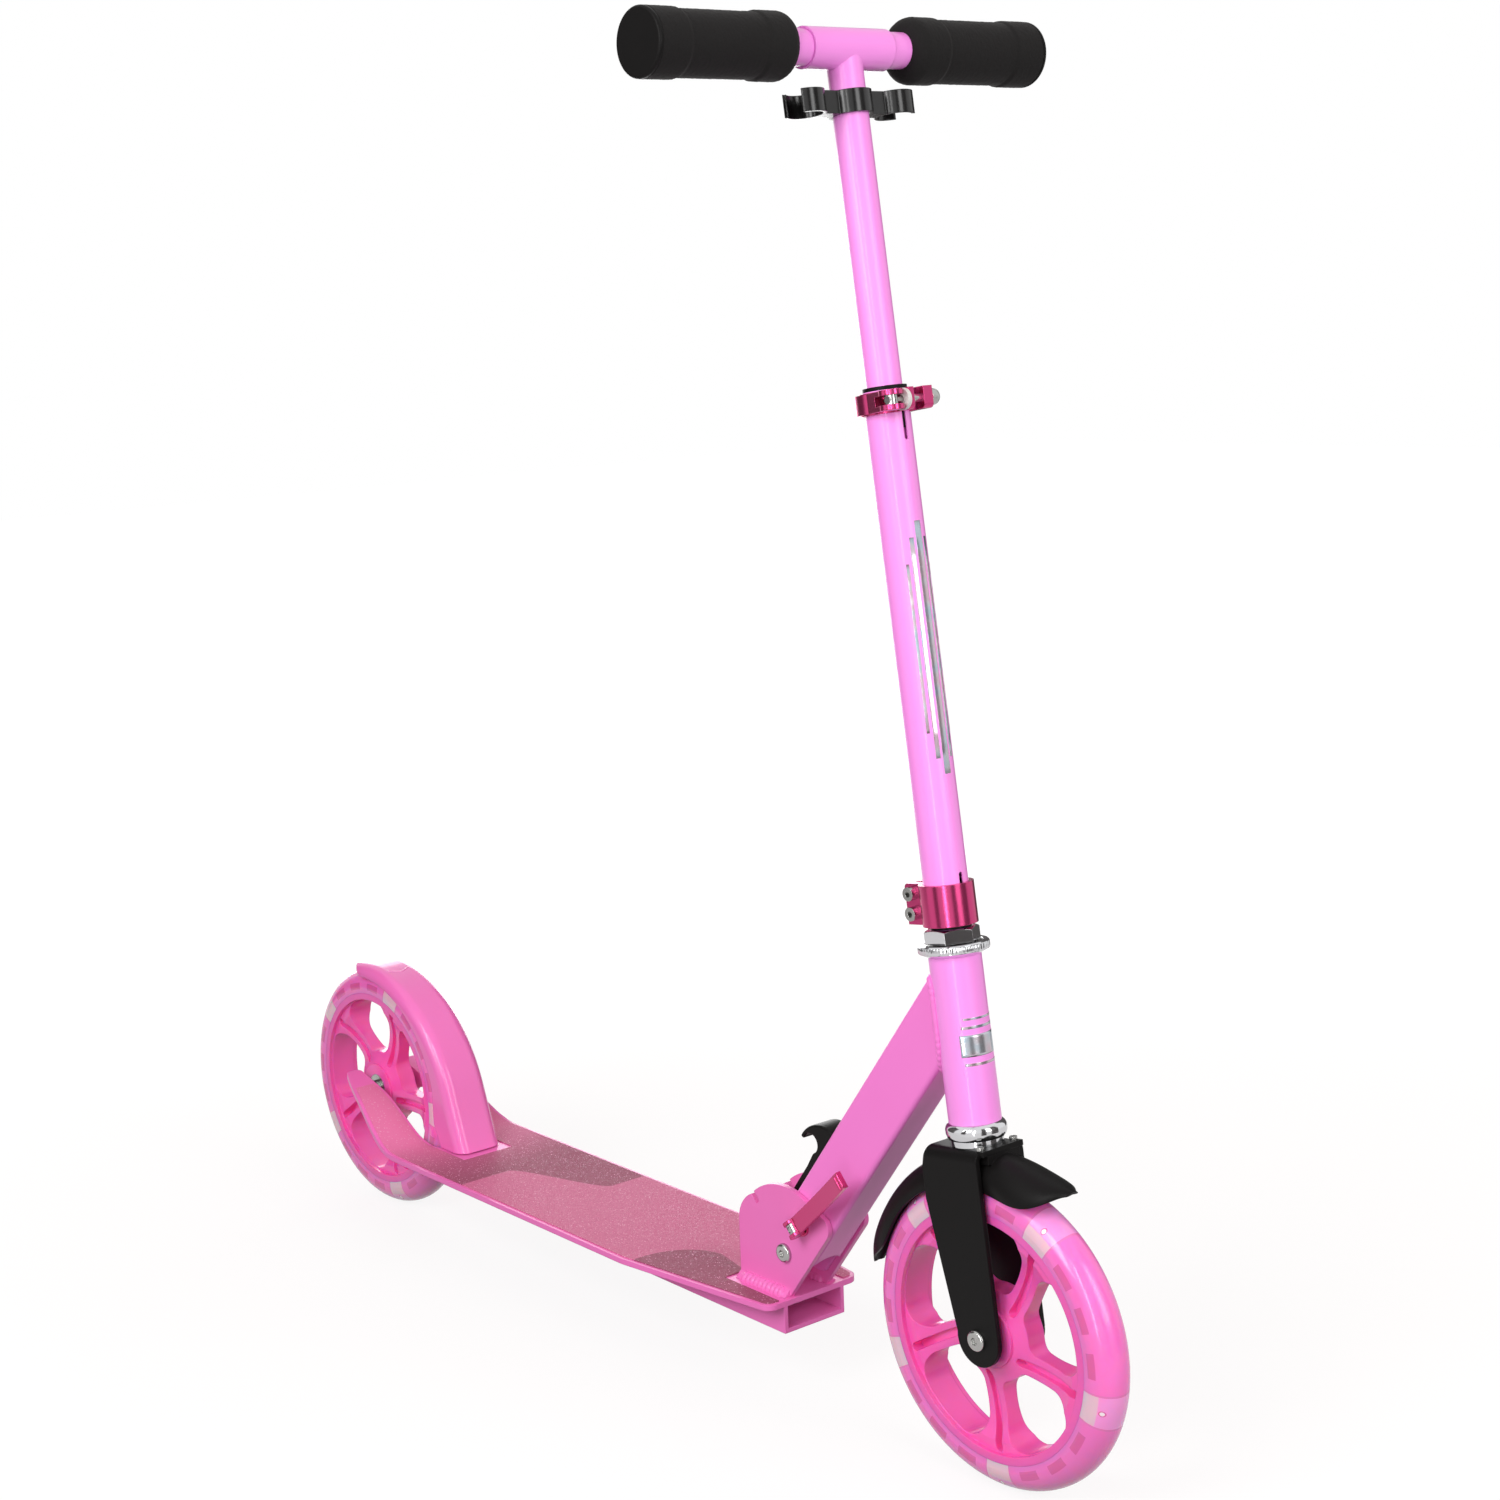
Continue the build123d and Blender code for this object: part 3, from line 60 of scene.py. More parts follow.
def linear(hexColour):  # sRGB hex to linear RGBA
    parts = [int(hexColour[i:i + 2], 16) / 255 for i in (1, 3, 5)]
    return [c / 12.92 if c <= 0.04045 else ((c + 0.055) / 1.055) ** 2.4 for c in parts] + [1.0]


def addNode(tree, kind, settings=None, links=None):
    # one node: a setting is a property or a socket's value, by name or number; a colour Mix has its two colours at 6, 7
    node = tree.nodes.new(kind)
    for key, value in (settings or {}).items():
        if isinstance(key, str) and hasattr(node, key):
            setattr(node, key, value)
        else:
            node.inputs[key].default_value = value
    for key, source in (links or {}).items():
        tree.links.new(source.outputs[0] if hasattr(source, "outputs") else source, node.inputs[key])
    return node


def startMaterial(name):  # empty tree with a Principled shader on the output
    material = bpy.data.materials.new(name)
    material.use_nodes = True
    tree = material.node_tree
    tree.nodes.clear()
    shader = addNode(tree, "ShaderNodeBsdfPrincipled")
    addNode(tree, "ShaderNodeOutputMaterial", links={"Surface": shader})
    coords = addNode(tree, "ShaderNodeTexCoord").outputs["Object"]
    return material, tree, shader, coords


shaderSockets = {
    "metal": "Metallic", "coat": "Coat Weight", "coatRough": "Coat Roughness", "ior": "IOR",
    "subsurface": "Subsurface Weight", "clear": "Transmission Weight", "sheen": "Sheen Weight",
    "specular": "Specular IOR Level",
}


def setShader(shader, look):  # values that are the same all over the surface; scatter is in mm
    for key, socket in shaderSockets.items():
        if key in look:
            shader.inputs[socket].default_value = look[key]
    if "subsurface" in look:
        shader.inputs["Subsurface Scale"].default_value = look["scatter"] / mmPerMetre


# what a finish has unless it says otherwise; drift, depth and edge in mm
usual = {"drift": 60, "roughSpan": 0.05, "bump": 0.1, "depth": 0.05, "edge": 0.4, "edgeSamples": 6}


def finish(name, own):
    # colour drifts between two tones on a slow noise; a fine noise of the given grain in mm
    # moves the roughness and, through bump, the surface; corners are softened over the edge radius
    look = {**usual, **own}
    material, tree, shader, coords = startMaterial(name)
    slow = addNode(tree, "ShaderNodeTexNoise", {"Scale": mmPerMetre / look["drift"], "Detail": 3.0},
                   {"Vector": coords})
    fine = addNode(tree, "ShaderNodeTexNoise", {"Scale": mmPerMetre / look["grain"], "Detail": 4.0},
                   {"Vector": coords})
    tone = addNode(tree, "ShaderNodeMix", {
        "data_type": "RGBA", 6: linear(look["colour"]), 7: linear(look["second"])}, {0: slow})
    tree.links.new(tone.outputs[2], shader.inputs["Base Color"])
    rough = addNode(tree, "ShaderNodeMapRange", {
        "To Min": look["rough"] - look["roughSpan"], "To Max": look["rough"] + look["roughSpan"]}, {"Value": fine})
    tree.links.new(rough.outputs[0], shader.inputs["Roughness"])
    edge = addNode(tree, "ShaderNodeBevel", {"samples": look["edgeSamples"], "Radius": look["edge"] / mmPerMetre})
    bump = addNode(tree, "ShaderNodeBump", {"Strength": look["bump"], "Distance": look["depth"] / mmPerMetre},
                   {"Height": fine, "Normal": edge})
    tree.links.new(bump.outputs[0], shader.inputs["Normal"])
    setShader(shader, look)
    return material


def dress(material, *names):  # one material for each of the named CAD nodes
    for name in names:
        nodes[name].data.materials.clear()
        nodes[name].data.materials.append(material)


# sprayed enamel on steel and aluminium: a soft orange peel and a mild gloss; one pink paint drawn as lit and shaded
# copies: the tubes glossier and paler, with painted light, the frame and above all the deck deeper, with painted shade
enamel = {"grain": 1.6, "rough": 0.3, "bump": 0.06, "depth": 0.05, "coat": 0.25, "coatRough": 0.1,
          "ior": 1.5, "specular": 0.3, "edge": 0.9}
tubeEnamelPaintedLight = finish("tubeEnamelPaintedLight", {**enamel, "colour": "#fb9bf1", "second": "#f995eb"})
frameEnamelPaintedShade = finish("frameEnamelPaintedShade", {
    **enamel, "coat": 0.08, "specular": 0.18, "colour": "#f788dc", "second": "#f482d6"})
deckEnamelPaintedShade = finish("deckEnamelPaintedShade", {
    **enamel, "coat": 0.12, "specular": 0.2, "colour": "#f07cc8", "second": "#ee76c2"})
dress(tubeEnamelPaintedLight, "steering_tube", "t_bar", "handlebar_left", "handlebar_right", "head_tube")
dress(frameEnamelPaintedShade, "down_tube")
dress(deckEnamelPaintedShade, "deck", "hinge_plate_right", "hinge_plate_left")
# injection-moulded ABS fender: glossier than the enamel, with a trace of light under the skin
fenderAbs = finish("mouldedFenderAbs", {
    "colour": "#f078c6", "second": "#ed72c0", "grain": 2.5, "rough": 0.22, "bump": 0.05, "depth": 0.06, "ior": 1.53,
    "coat": 0.4, "coatRough": 0.06, "specular": 0.35, "edge": 1.2, "subsurface": 0.08, "scatter": 3})
dress(fenderAbs, "rear_fender")
# moulded polypropylene rim: hotter pink, light scatters a little under the skin
rimPlastic = finish("mouldedRimPlastic", {
    "colour": "#ff66c2", "second": "#fd5eba", "grain": 4.0, "rough": 0.2, "bump": 0.04, "depth": 0.05, "ior": 1.5,
    "subsurface": 0.5, "scatter": 7, "edge": 1.0})
dress(rimPlastic, "front_rim", "rear_rim")
# satin black powder coat on the fork: fine pebble, broad sheen
blackCoat = finish("blackPowderCoat", {
    "colour": "#0b0a0a", "second": "#100f0f", "grain": 0.7, "rough": 0.42, "bump": 0.2, "depth": 0.05, "ior": 1.5,
    "specular": 0.12, "edge": 1.0})
dress(blackCoat, "fork")
# black polypropylene from a spark-eroded mould: a dull, even grain
blackPlastic = finish("sparkErodedPlastic", {
    "colour": "#0c0b0b", "second": "#121111", "grain": 0.5, "rough": 0.42, "bump": 0.2, "depth": 0.04, "ior": 1.49,
    "specular": 0.12, "edge": 0.6})
dress(blackPlastic, "front_mudguard", "latch_trigger", "tube_bush", "end_cap_left", "end_cap_right")
# black nylon from a polished mould: smooth, with clear highlights
glossNylon = finish("glossNylon", {
    "colour": "#0d0d0d", "second": "#131313", "grain": 1.5, "rough": 0.2, "bump": 0.06, "depth": 0.05, "ior": 1.53,
    "edge": 0.8})
dress(glossNylon, "stowage_clip")
# raspberry anodised aluminium, tumbled: coloured metal with a fine satin
anodised = finish("raspberryAnodised", {
    "colour": "#d64d85", "second": "#c9447a", "grain": 0.4, "rough": 0.22, "bump": 0.08, "depth": 0.02, "metal": 0.95,
    "edge": 0.6})
dress(anodised, "lock_lever", "lower_clamp", "qr_collar", "qr_lever", "lock_washer")
# bright chrome plate on the headset: a near mirror
chrome = finish("chromePlate", {
    "colour": "#dcdcde", "second": "#d2d3d6", "grain": 3.0, "rough": 0.1, "roughSpan": 0.03, "bump": 0.04,
    "depth": 0.03, "metal": 1.0})
dress(chrome, "upper_cup", "lower_cup", "headset_nut", "crown_race")
# zinc-plated steel of the fasteners, spacers and bearings: slightly grey and cloudy
zinc = finish("zincPlate", {
    "colour": "#bfbfbd", "second": "#a9a9a6", "grain": 1.0, "drift": 4, "rough": 0.2, "bump": 0.1, "depth": 0.02,
    "metal": 1.0})
dress(zinc, "hinge_bolt", "hinge_nut", "lock_stud", "lock_anchor", "lock_barrel", "rear_axle_bolt", "rear_axle_nut",
      "rear_spacers", "fender_pin", "upper_bearing", "lower_bearing", "mudguard_screws", "front_axle_bolt",
      "front_axle_nut", "front_spacers", "clamp_bolts", "qr_bolt", "qr_nut", "qr_barrel", "front_bearings",
      "rear_bearings")
# moulded white acetal washer under the clamp lever: waxy, half matt
acetal = finish("whiteAcetal", {"colour": "#e4e4e2", "second": "#d8d8d6", "grain": 0.8, "rough": 0.4, "ior": 1.48})
dress(acetal, "qr_washer")
# moulded polycarbonate of the light modules: clear, with a pale cast
clearPlastic = finish("clearPolycarbonate", {
    "colour": "#f6ecf2", "second": "#efe2ea", "grain": 2.0, "rough": 0.15, "clear": 0.6, "ior": 1.58})
dress(clearPlastic, "front_lights", "rear_lights")
print("plain finishes done")

# cast translucent urethane: milky pink with a wet gloss; through it show the rim's slots, darker, and at each
# spoke a clear insert with its pale clip and lamp; lengths in mm, angles in degrees
tyreLook = {
    "colour": "#ff7cd2", "second": "#fd74ca", "slot": "#e460ac", "insert": "#ff9ce2", "clip": "#ecc6d8",
    "seam": "#f07cc4", "lamp": "#fff2fa", "inserts": 5, "slotHalf": 5.3, "insertHalf": 6.4, "seamWidth": 0.7,
    "slotInner": 84.4, "slotOuter": 89.6, "slotSoft": 0.5, "clipOuter": 91.5, "clipSoft": 0.6, "lampRadius": 94.5,
    "lampSize": 1.3, "lampRing": 0.6, "frontAngle": 59.5, "rearAngle": 69.5, "cloud": 30, "scuff": 6,
    "roughLow": 0.16, "roughHigh": 0.24, "bump": 0.05, "depth": 0.05, "ior": 1.5, "subsurface": 0.5, "scatter": 8,
    "coat": 0.25, "coatRough": 0.06,
}


def castTyre(name, axle, insertAngle):
    # polar pattern about the axle: the share of one fifth of a turn, with the insert at its middle and slots at its
    # ends and quarters, picks insert, seam and slot from one ramp; the radius bounds the slots and places the lamp
    material, tree, shader, coords = startMaterial(name)
    look = tyreLook
    fifth = 360 / look["inserts"]
    flat = addNode(tree, "ShaderNodeMapping", {"Location": (-axle[0], 0, -axle[2]), "Scale": (1, 0, 1)},
                   {"Vector": coords})
    split = addNode(tree, "ShaderNodeSeparateXYZ", links={0: flat})
    angle = addNode(tree, "ShaderNodeMath", {"operation": "ARCTAN2"}, {0: split.outputs[2], 1: split.outputs[0]})
    share = addNode(tree, "ShaderNodeMath", {
        "operation": "MULTIPLY_ADD", 1: math.degrees(1) / fifth,
        2: look["inserts"] + 0.5 - insertAngle / fifth}, {0: angle})
    share = addNode(tree, "ShaderNodeMath", {"operation": "FRACT"}, {0: share})
    ramp = addNode(tree, "ShaderNodeValToRGB", links={0: share})
    slotHalf, insertHalf, seam = look["slotHalf"] / fifth, look["insertHalf"] / fifth, look["seamWidth"] / fifth
    bare, inSlot, inInsert, inSeam = (0, 0, 0, 1), (1, 0, 0, 1), (0, 1, 0, 1), (0, 0, 1, 1)
    stops = [
        (0.0, inSlot), (slotHalf, bare), (0.25 - slotHalf, inSlot), (0.25 + slotHalf, bare),
        (0.5 - insertHalf - seam, inSeam), (0.5 - insertHalf, inInsert), (0.5 + insertHalf, inSeam),
        (0.5 + insertHalf + seam, bare), (0.75 - slotHalf, inSlot), (0.75 + slotHalf, bare), (1 - slotHalf, inSlot),
    ]
    ramp.color_ramp.interpolation = "CONSTANT"
    for stop, (place, mask) in enumerate(stops):
        point = ramp.color_ramp.elements[stop] if stop < 2 else ramp.color_ramp.elements.new(place)
        point.position = place
        point.color = mask
    masks = addNode(tree, "ShaderNodeSeparateColor", links={0: ramp})
    radius = addNode(tree, "ShaderNodeVectorMath", {"operation": "LENGTH"}, {0: flat}).outputs["Value"]
    slotSoft, slotInner, slotOuter, clipSoft, clipOuter, lampRadius, lampSize, lampRing = (
        look[key] / mmPerMetre for key in ("slotSoft", "slotInner", "slotOuter", "clipSoft", "clipOuter", "lampRadius",
                                           "lampSize", "lampRing"))
    above = addNode(tree, "ShaderNodeMapRange", {"From Min": slotInner - slotSoft, "From Max": slotInner},
                    {"Value": radius})
    below = addNode(tree, "ShaderNodeMapRange", {"From Min": slotOuter + slotSoft, "From Max": slotOuter},
                    {"Value": radius})
    band = addNode(tree, "ShaderNodeMath", {"operation": "MULTIPLY"}, {0: above, 1: below})
    slot = addNode(tree, "ShaderNodeMath", {"operation": "MULTIPLY"}, {0: band, 1: masks.outputs[0]})
    arc = math.radians(fifth) * lampRadius
    aside = addNode(tree, "ShaderNodeMath", {"operation": "MULTIPLY_ADD", 1: arc, 2: -0.5 * arc}, {0: share})
    outward = addNode(tree, "ShaderNodeMath", {"operation": "SUBTRACT", 1: lampRadius}, {0: radius})
    fromLamp = addNode(tree, "ShaderNodeCombineXYZ", links={0: aside, 1: outward})
    lampGap = addNode(tree, "ShaderNodeVectorMath", {"operation": "LENGTH"}, {0: fromLamp}).outputs["Value"]
    ring = addNode(tree, "ShaderNodeMath", {"operation": "LESS_THAN", 1: lampSize + lampRing}, {0: lampGap})
    lamp = addNode(tree, "ShaderNodeMath", {"operation": "LESS_THAN", 1: lampSize}, {0: lampGap})
    cloud = addNode(tree, "ShaderNodeTexNoise", {"Scale": mmPerMetre / look["cloud"], "Detail": 2.0},
                    {"Vector": coords})
    tint = addNode(tree, "ShaderNodeMix", {
        "data_type": "RGBA", 6: linear(look["colour"]), 7: linear(look["second"])}, {0: cloud})
    deep = addNode(tree, "ShaderNodeMapRange", {"From Min": clipOuter + clipSoft, "From Max": clipOuter},
                   {"Value": radius})
    clip = addNode(tree, "ShaderNodeMath", {"operation": "MULTIPLY"}, {0: deep, 1: masks.outputs[1]})
    for mask, colour in ((slot, "slot"), (masks.outputs[1], "insert"), (clip, "clip"), (masks.outputs[2], "seam"),
                         (ring, "slot"), (lamp, "lamp")):
        tint = addNode(tree, "ShaderNodeMix", {"data_type": "RGBA", 7: linear(look[colour])},
                       {0: mask, 6: tint.outputs[2]})
    tree.links.new(tint.outputs[2], shader.inputs["Base Color"])
    scuff = addNode(tree, "ShaderNodeTexNoise", {"Scale": mmPerMetre / look["scuff"], "Detail": 3.0},
                    {"Vector": coords})
    rough = addNode(tree, "ShaderNodeMapRange", {"To Min": look["roughLow"], "To Max": look["roughHigh"]},
                    {"Value": scuff})
    tree.links.new(rough.outputs[0], shader.inputs["Roughness"])
    bump = addNode(tree, "ShaderNodeBump", {"Strength": look["bump"], "Distance": look["depth"] / mmPerMetre},
                   {"Height": scuff})
    tree.links.new(bump.outputs[0], shader.inputs["Normal"])
    setShader(shader, look)
    return material


dress(castTyre("castUrethaneFront", scooter["frontAxle"], tyreLook["frontAngle"]), "front_tyre")
dress(castTyre("castUrethaneRear", scooter["rearAxle"], tyreLook["rearAngle"]), "rear_tyre")
print("tyres done")

# grit tape: mineral grain of about 0.4 mm, drawn at 0.7 mm so that it shows, with glinting chips painted paler; a
# darker print covers the rear in a wave and the near half of the nose; the arms' tape is painted light; places in
# metres, grit and depth in mm
tapeLook = {
    "colour": "#d4789f", "second": "#c56c90", "dark": "#a05a74", "darkSecond": "#925068", "armPaintedLight": "#ee86b8",
    "glint": "#e9a9c8", "grit": 0.7, "glintShare": 0.03, "waveMid": 0.006, "waveHalf": 0.02, "waveNear": -0.165,
    "waveFar": -0.08, "noseMiddle": 0.088, "noseReach": 0.038, "noseTop": -0.004, "noseHeight": 0.046,
    "noseFall": 0.22, "soft": 0.0006, "fadeFrom": -0.17, "fadeTo": -0.27, "fadeLeft": 0.1, "bump": 0.5, "depth": 0.3,
    "roughLow": 0.4, "roughHigh": 0.85, "specular": 0.12,
}


def gritTape(name):
    # rear print: x is less than a smooth step of y, fading out towards the arms, where the tape turns paler: painted
    # light; nose print: y is under a quarter ellipse that falls slowly forward
    material, tree, shader, coords = startMaterial(name)
    look = tapeLook
    split = addNode(tree, "ShaderNodeSeparateXYZ", links={0: coords})
    along, across = split.outputs[0], split.outputs[1]
    wave = addNode(tree, "ShaderNodeMapRange", {
        "interpolation_type": "SMOOTHSTEP", "From Min": look["waveMid"] - look["waveHalf"],
        "From Max": look["waveMid"] + look["waveHalf"], "To Min": look["waveNear"], "To Max": look["waveFar"]},
        {"Value": across})
    behind = addNode(tree, "ShaderNodeMath", {"operation": "SUBTRACT"}, {0: wave, 1: along})
    rearPrint = addNode(tree, "ShaderNodeMapRange", {"From Min": -look["soft"], "From Max": look["soft"]},
                        {"Value": behind})
    fade = addNode(tree, "ShaderNodeMapRange", {
        "From Min": look["fadeTo"], "From Max": look["fadeFrom"], "To Min": look["fadeLeft"]}, {"Value": along})
    rearPrint = addNode(tree, "ShaderNodeMath", {"operation": "MULTIPLY"}, {0: rearPrint, 1: fade})
    noseBack = look["noseMiddle"] - look["noseReach"]
    back = addNode(tree, "ShaderNodeMapRange", {"From Min": look["noseMiddle"], "From Max": noseBack},
                   {"Value": along})
    square = addNode(tree, "ShaderNodeMath", {"operation": "MULTIPLY"}, {0: back, 1: back})
    rest = addNode(tree, "ShaderNodeMath", {"operation": "SUBTRACT", 0: 1.0}, {1: square})
    arch = addNode(tree, "ShaderNodeMath", {"operation": "SQRT"}, {0: rest})
    height = addNode(tree, "ShaderNodeMath", {
        "operation": "MULTIPLY_ADD", 1: look["noseHeight"], 2: look["noseTop"] - look["noseHeight"]}, {0: arch})
    ahead = addNode(tree, "ShaderNodeMath", {"operation": "SUBTRACT", 1: look["noseMiddle"]}, {0: along})
    forward = addNode(tree, "ShaderNodeMath", {"operation": "MAXIMUM", 1: 0.0}, {0: ahead})
    top = addNode(tree, "ShaderNodeMath", {"operation": "MULTIPLY_ADD", 1: -look["noseFall"]}, {0: forward, 2: height})
    under = addNode(tree, "ShaderNodeMath", {"operation": "SUBTRACT"}, {0: top, 1: across})
    inside = addNode(tree, "ShaderNodeMapRange", {"From Min": -look["soft"], "From Max": look["soft"]},
                     {"Value": under})
    past = addNode(tree, "ShaderNodeMath", {"operation": "GREATER_THAN", 1: noseBack}, {0: along})
    nosePrint = addNode(tree, "ShaderNodeMath", {"operation": "MULTIPLY"}, {0: inside, 1: past})
    inPrint = addNode(tree, "ShaderNodeMath", {"operation": "MAXIMUM"}, {0: rearPrint, 1: nosePrint})
    grit = addNode(tree, "ShaderNodeTexVoronoi", {"Scale": mmPerMetre / look["grit"]}, {"Vector": coords})
    chip = addNode(tree, "ShaderNodeSeparateColor", links={0: grit.outputs["Color"]})
    plain = addNode(tree, "ShaderNodeMix", {
        "data_type": "RGBA", 6: linear(look["colour"]), 7: linear(look["second"])}, {0: chip})
    # towards the arms the tape turns to the paler arm tone: painted light
    plain = addNode(tree, "ShaderNodeMix", {"data_type": "RGBA", 6: linear(look["armPaintedLight"])},
                    {0: fade, 7: plain.outputs[2]})
    dark = addNode(tree, "ShaderNodeMix", {
        "data_type": "RGBA", 6: linear(look["dark"]), 7: linear(look["darkSecond"])}, {0: chip})
    printed = addNode(tree, "ShaderNodeMix", {"data_type": "RGBA"},
                      {0: inPrint, 6: plain.outputs[2], 7: dark.outputs[2]})
    # painted glint: a few grit chips get a paler colour, as if catching the light
    glint = addNode(tree, "ShaderNodeMath", {"operation": "LESS_THAN", 1: look["glintShare"]}, {0: chip.outputs[1]})
    colour = addNode(tree, "ShaderNodeMix", {"data_type": "RGBA", 7: linear(look["glint"])},
                     {0: glint, 6: printed.outputs[2]})
    tree.links.new(colour.outputs[2], shader.inputs["Base Color"])
    bump = addNode(tree, "ShaderNodeBump", {"Strength": look["bump"], "Distance": look["depth"] / mmPerMetre},
                   {"Height": grit.outputs["Distance"]})
    tree.links.new(bump.outputs[0], shader.inputs["Normal"])
    rough = addNode(tree, "ShaderNodeMapRange", {"To Min": look["roughLow"], "To Max": look["roughHigh"]},
                    {"Value": chip.outputs[2]})
    tree.links.new(rough.outputs[0], shader.inputs["Roughness"])
    setShader(shader, look)
    return material


dress(gritTape("gritTape"), "grip_tape")
print("tape done")


def gridPiece(name, grids, closeV, material, body):
    # each grid is points[u, v], closed round u as a tube; v is closed too, or ends in flat caps
    points, faces, start = [], [], 0
    for grid in grids:
        index = np.arange(grid.shape[0] * grid.shape[1]).reshape(grid.shape[:2]) + start
        nextU = np.roll(index, -1, 0)
        if closeV:
            quads = np.stack([index, nextU, np.roll(nextU, -1, 1), np.roll(index, -1, 1)], -1)
        else:
            quads = np.stack([index[:, :-1], nextU[:, :-1], nextU[:, 1:], index[:, 1:]], -1)
            faces += [index[::-1, 0].tolist(), index[:, -1].tolist()]
        faces += quads.reshape(-1, 4).tolist()
        points.append(grid.reshape(-1, 3))
        start += grid.shape[0] * grid.shape[1]
    mesh = bpy.data.meshes.new(name)
    mesh.from_pydata(np.concatenate(points).tolist(), [], faces)
    mesh.polygons.foreach_set("use_smooth", [len(face) == 4 for face in faces])
    piece = bpy.data.objects.new(name, mesh)
    scene.collection.objects.link(piece)
    piece.data.materials.append(material)
    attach(piece, body)
    return piece


def sweep(path, outward, across, rise, sides=16, closed=False):
    # an oval profile carried along a path: half width across and half height rise along the outward direction,
    # turned so that faces look out
    step = np.roll(path, -1, 0) - np.roll(path, 1, 0) if closed else np.gradient(path, axis=0)
    tangent = step / np.linalg.norm(step, axis=1, keepdims=True)
    outward = outward - tangent * (outward * tangent).sum(1, keepdims=True)
    outward = outward / np.linalg.norm(outward, axis=1, keepdims=True)
    aside = np.cross(tangent, outward)
    turn = -np.linspace(0, math.tau, sides, endpoint=False)[:, None, None]
    across, rise = np.broadcast_to(across, len(path)), np.broadcast_to(rise, len(path))
    return path[None] + np.cos(turn) * (across[:, None] * aside)[None] + np.sin(turn) * (rise[:, None] * outward)[None]


def endTaper(share, power):  # size left as share goes to one at an end, on an oval; ends stay blunt
    bluntEnd = 0.02
    return np.sqrt(np.maximum(1 - np.abs(share) ** power, bluntEnd))


def smoothStep(share):  # s-curve from nought to one: three squares less two cubes
    return share ** 2 * (3 - 2 * share)


def quarterRound(share):  # how far a rounded edge has fallen back, in radii
    return 1 - np.sqrt(1 - share ** 2)


# foam grips: closed-cell foam tube with cut ends, a waist between two bands; metres
gripShape = {
    "inner": 0.048, "outer": 0.156, "bar": 0.01125, "band": 0.0206, "waist": 0.0196, "round": 0.009,
    "bandLength": 0.021, "stepStart": 0.003, "step": 0.003, "lip": 0.001, "barHeight": 0.7975, "ripple": 0.00007,
    "roundRows": 14, "bodyRows": 120, "lipRows": 6, "afterRound": 0.0008, "beforeLip": 0.0002, "sides": 96,
    "seeds": {1: 7, -1: 8},
}
# foam skin: dead black and pored, hardly any gloss
foam = finish("closedCellFoam", {
    "colour": "#100f0f", "second": "#171616", "grain": 0.9, "rough": 0.85, "roughSpan": 0.08, "bump": 0.7,
    "depth": 0.25, "ior": 1.4, "specular": 0.3, "sheen": 0.04})


def foamGrip(name, body, node, side):
    # radius along the bar: quarter round at the inner end, band, smooth step to the waist, step to the outer band;
    # the profile runs back inside along the bar, so the sleeve is closed
    grip = gripShape
    length = grip["outer"] - grip["inner"]
    lipStart = length - grip["lip"]
    along = np.concatenate([
        np.linspace(0, grip["round"], grip["roundRows"]),
        np.linspace(grip["round"] + grip["afterRound"], lipStart - grip["beforeLip"], grip["bodyRows"]),
        np.linspace(lipStart, length, grip["lipRows"]),
    ])
    enter = np.clip((along - grip["bandLength"] - grip["stepStart"]) / grip["step"], 0, 1)
    leave = np.clip((along - length + grip["bandLength"] + grip["step"]) / grip["step"], 0, 1)
    radius = grip["band"] - (grip["band"] - grip["waist"]) * (smoothStep(enter) - smoothStep(leave))
    radius = radius - grip["round"] * quarterRound(np.clip(1 - along / grip["round"], 0, 1))
    radius = radius - grip["lip"] * quarterRound(np.clip((along - length + grip["lip"]) / grip["lip"], 0, 1))
    along = np.concatenate([along, along[::-1]])
    radius = np.concatenate([radius, np.full(len(radius), grip["bar"])])
    turn = np.linspace(0, math.tau, grip["sides"], endpoint=False)
    centre = scooter["frontAxle"] + steerDir * grip["barHeight"]
    ripple = np.random.default_rng(grip["seeds"][side]).normal(0, grip["ripple"], (len(turn), len(radius)))
    ripple[:, len(radius) // 2:] = 0
    ripple[:, 0] = 0
    circle = np.cos(turn)[:, None, None] * aheadDir + np.sin(turn)[:, None, None] * steerDir
    points = centre + (radius + ripple)[..., None] * circle + (side * (grip["inner"] + along))[None, :, None] * sideDir
    piece = gridPiece(name, [points if side < 0 else points[::-1]], True, foam, body)
    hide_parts(node)


foamGrip("foamGripLeft", "bar_left", "grip_left", 1)
foamGrip("foamGripRight", "bar_right", "grip_right", -1)
print("grips done")

# weld beads: overlapped drops under the enamel, at the plates' feet and round the neck's joint with the head tube
weld = {
    "plateY": 0.0184, "plateFrom": 0.126, "plateTo": 0.1742, "footRadius": 0.0052, "footRows": 130, "footSides": 24,
    "neckHalfWidth": 0.0142, "neckHalfDepth": 0.0207, "neckSquareness": 0.4, "headRadius": 0.0166,
    "neckRadius": 0.0023, "neckRows": 400, "neckSides": 14, "pitch": 0.0042, "drop": 0.16,
}


def ripples(length):  # share of the bead's radius: one even drop per pitch
    return 1 + weld["drop"] * np.abs(np.sin(math.pi * length / weld["pitch"]))


def footBead(side):  # straight bead in the corner of plate and deck, rounded off at both ends
    x = np.linspace(weld["plateFrom"], weld["plateTo"], weld["footRows"])
    path = np.stack([x, np.full_like(x, side * weld["plateY"]), np.full_like(x, scooter["deckTop"])], 1)
    ends = np.clip(np.minimum(x - x[0], x[-1] - x) / weld["footRadius"], 0, 1)
    radius = weld["footRadius"] * ripples(x) * endTaper(1 - ends, 2)
    return sweep(path, np.tile((0.0, 0.0, 1.0), (len(x), 1)), radius, radius, weld["footSides"])


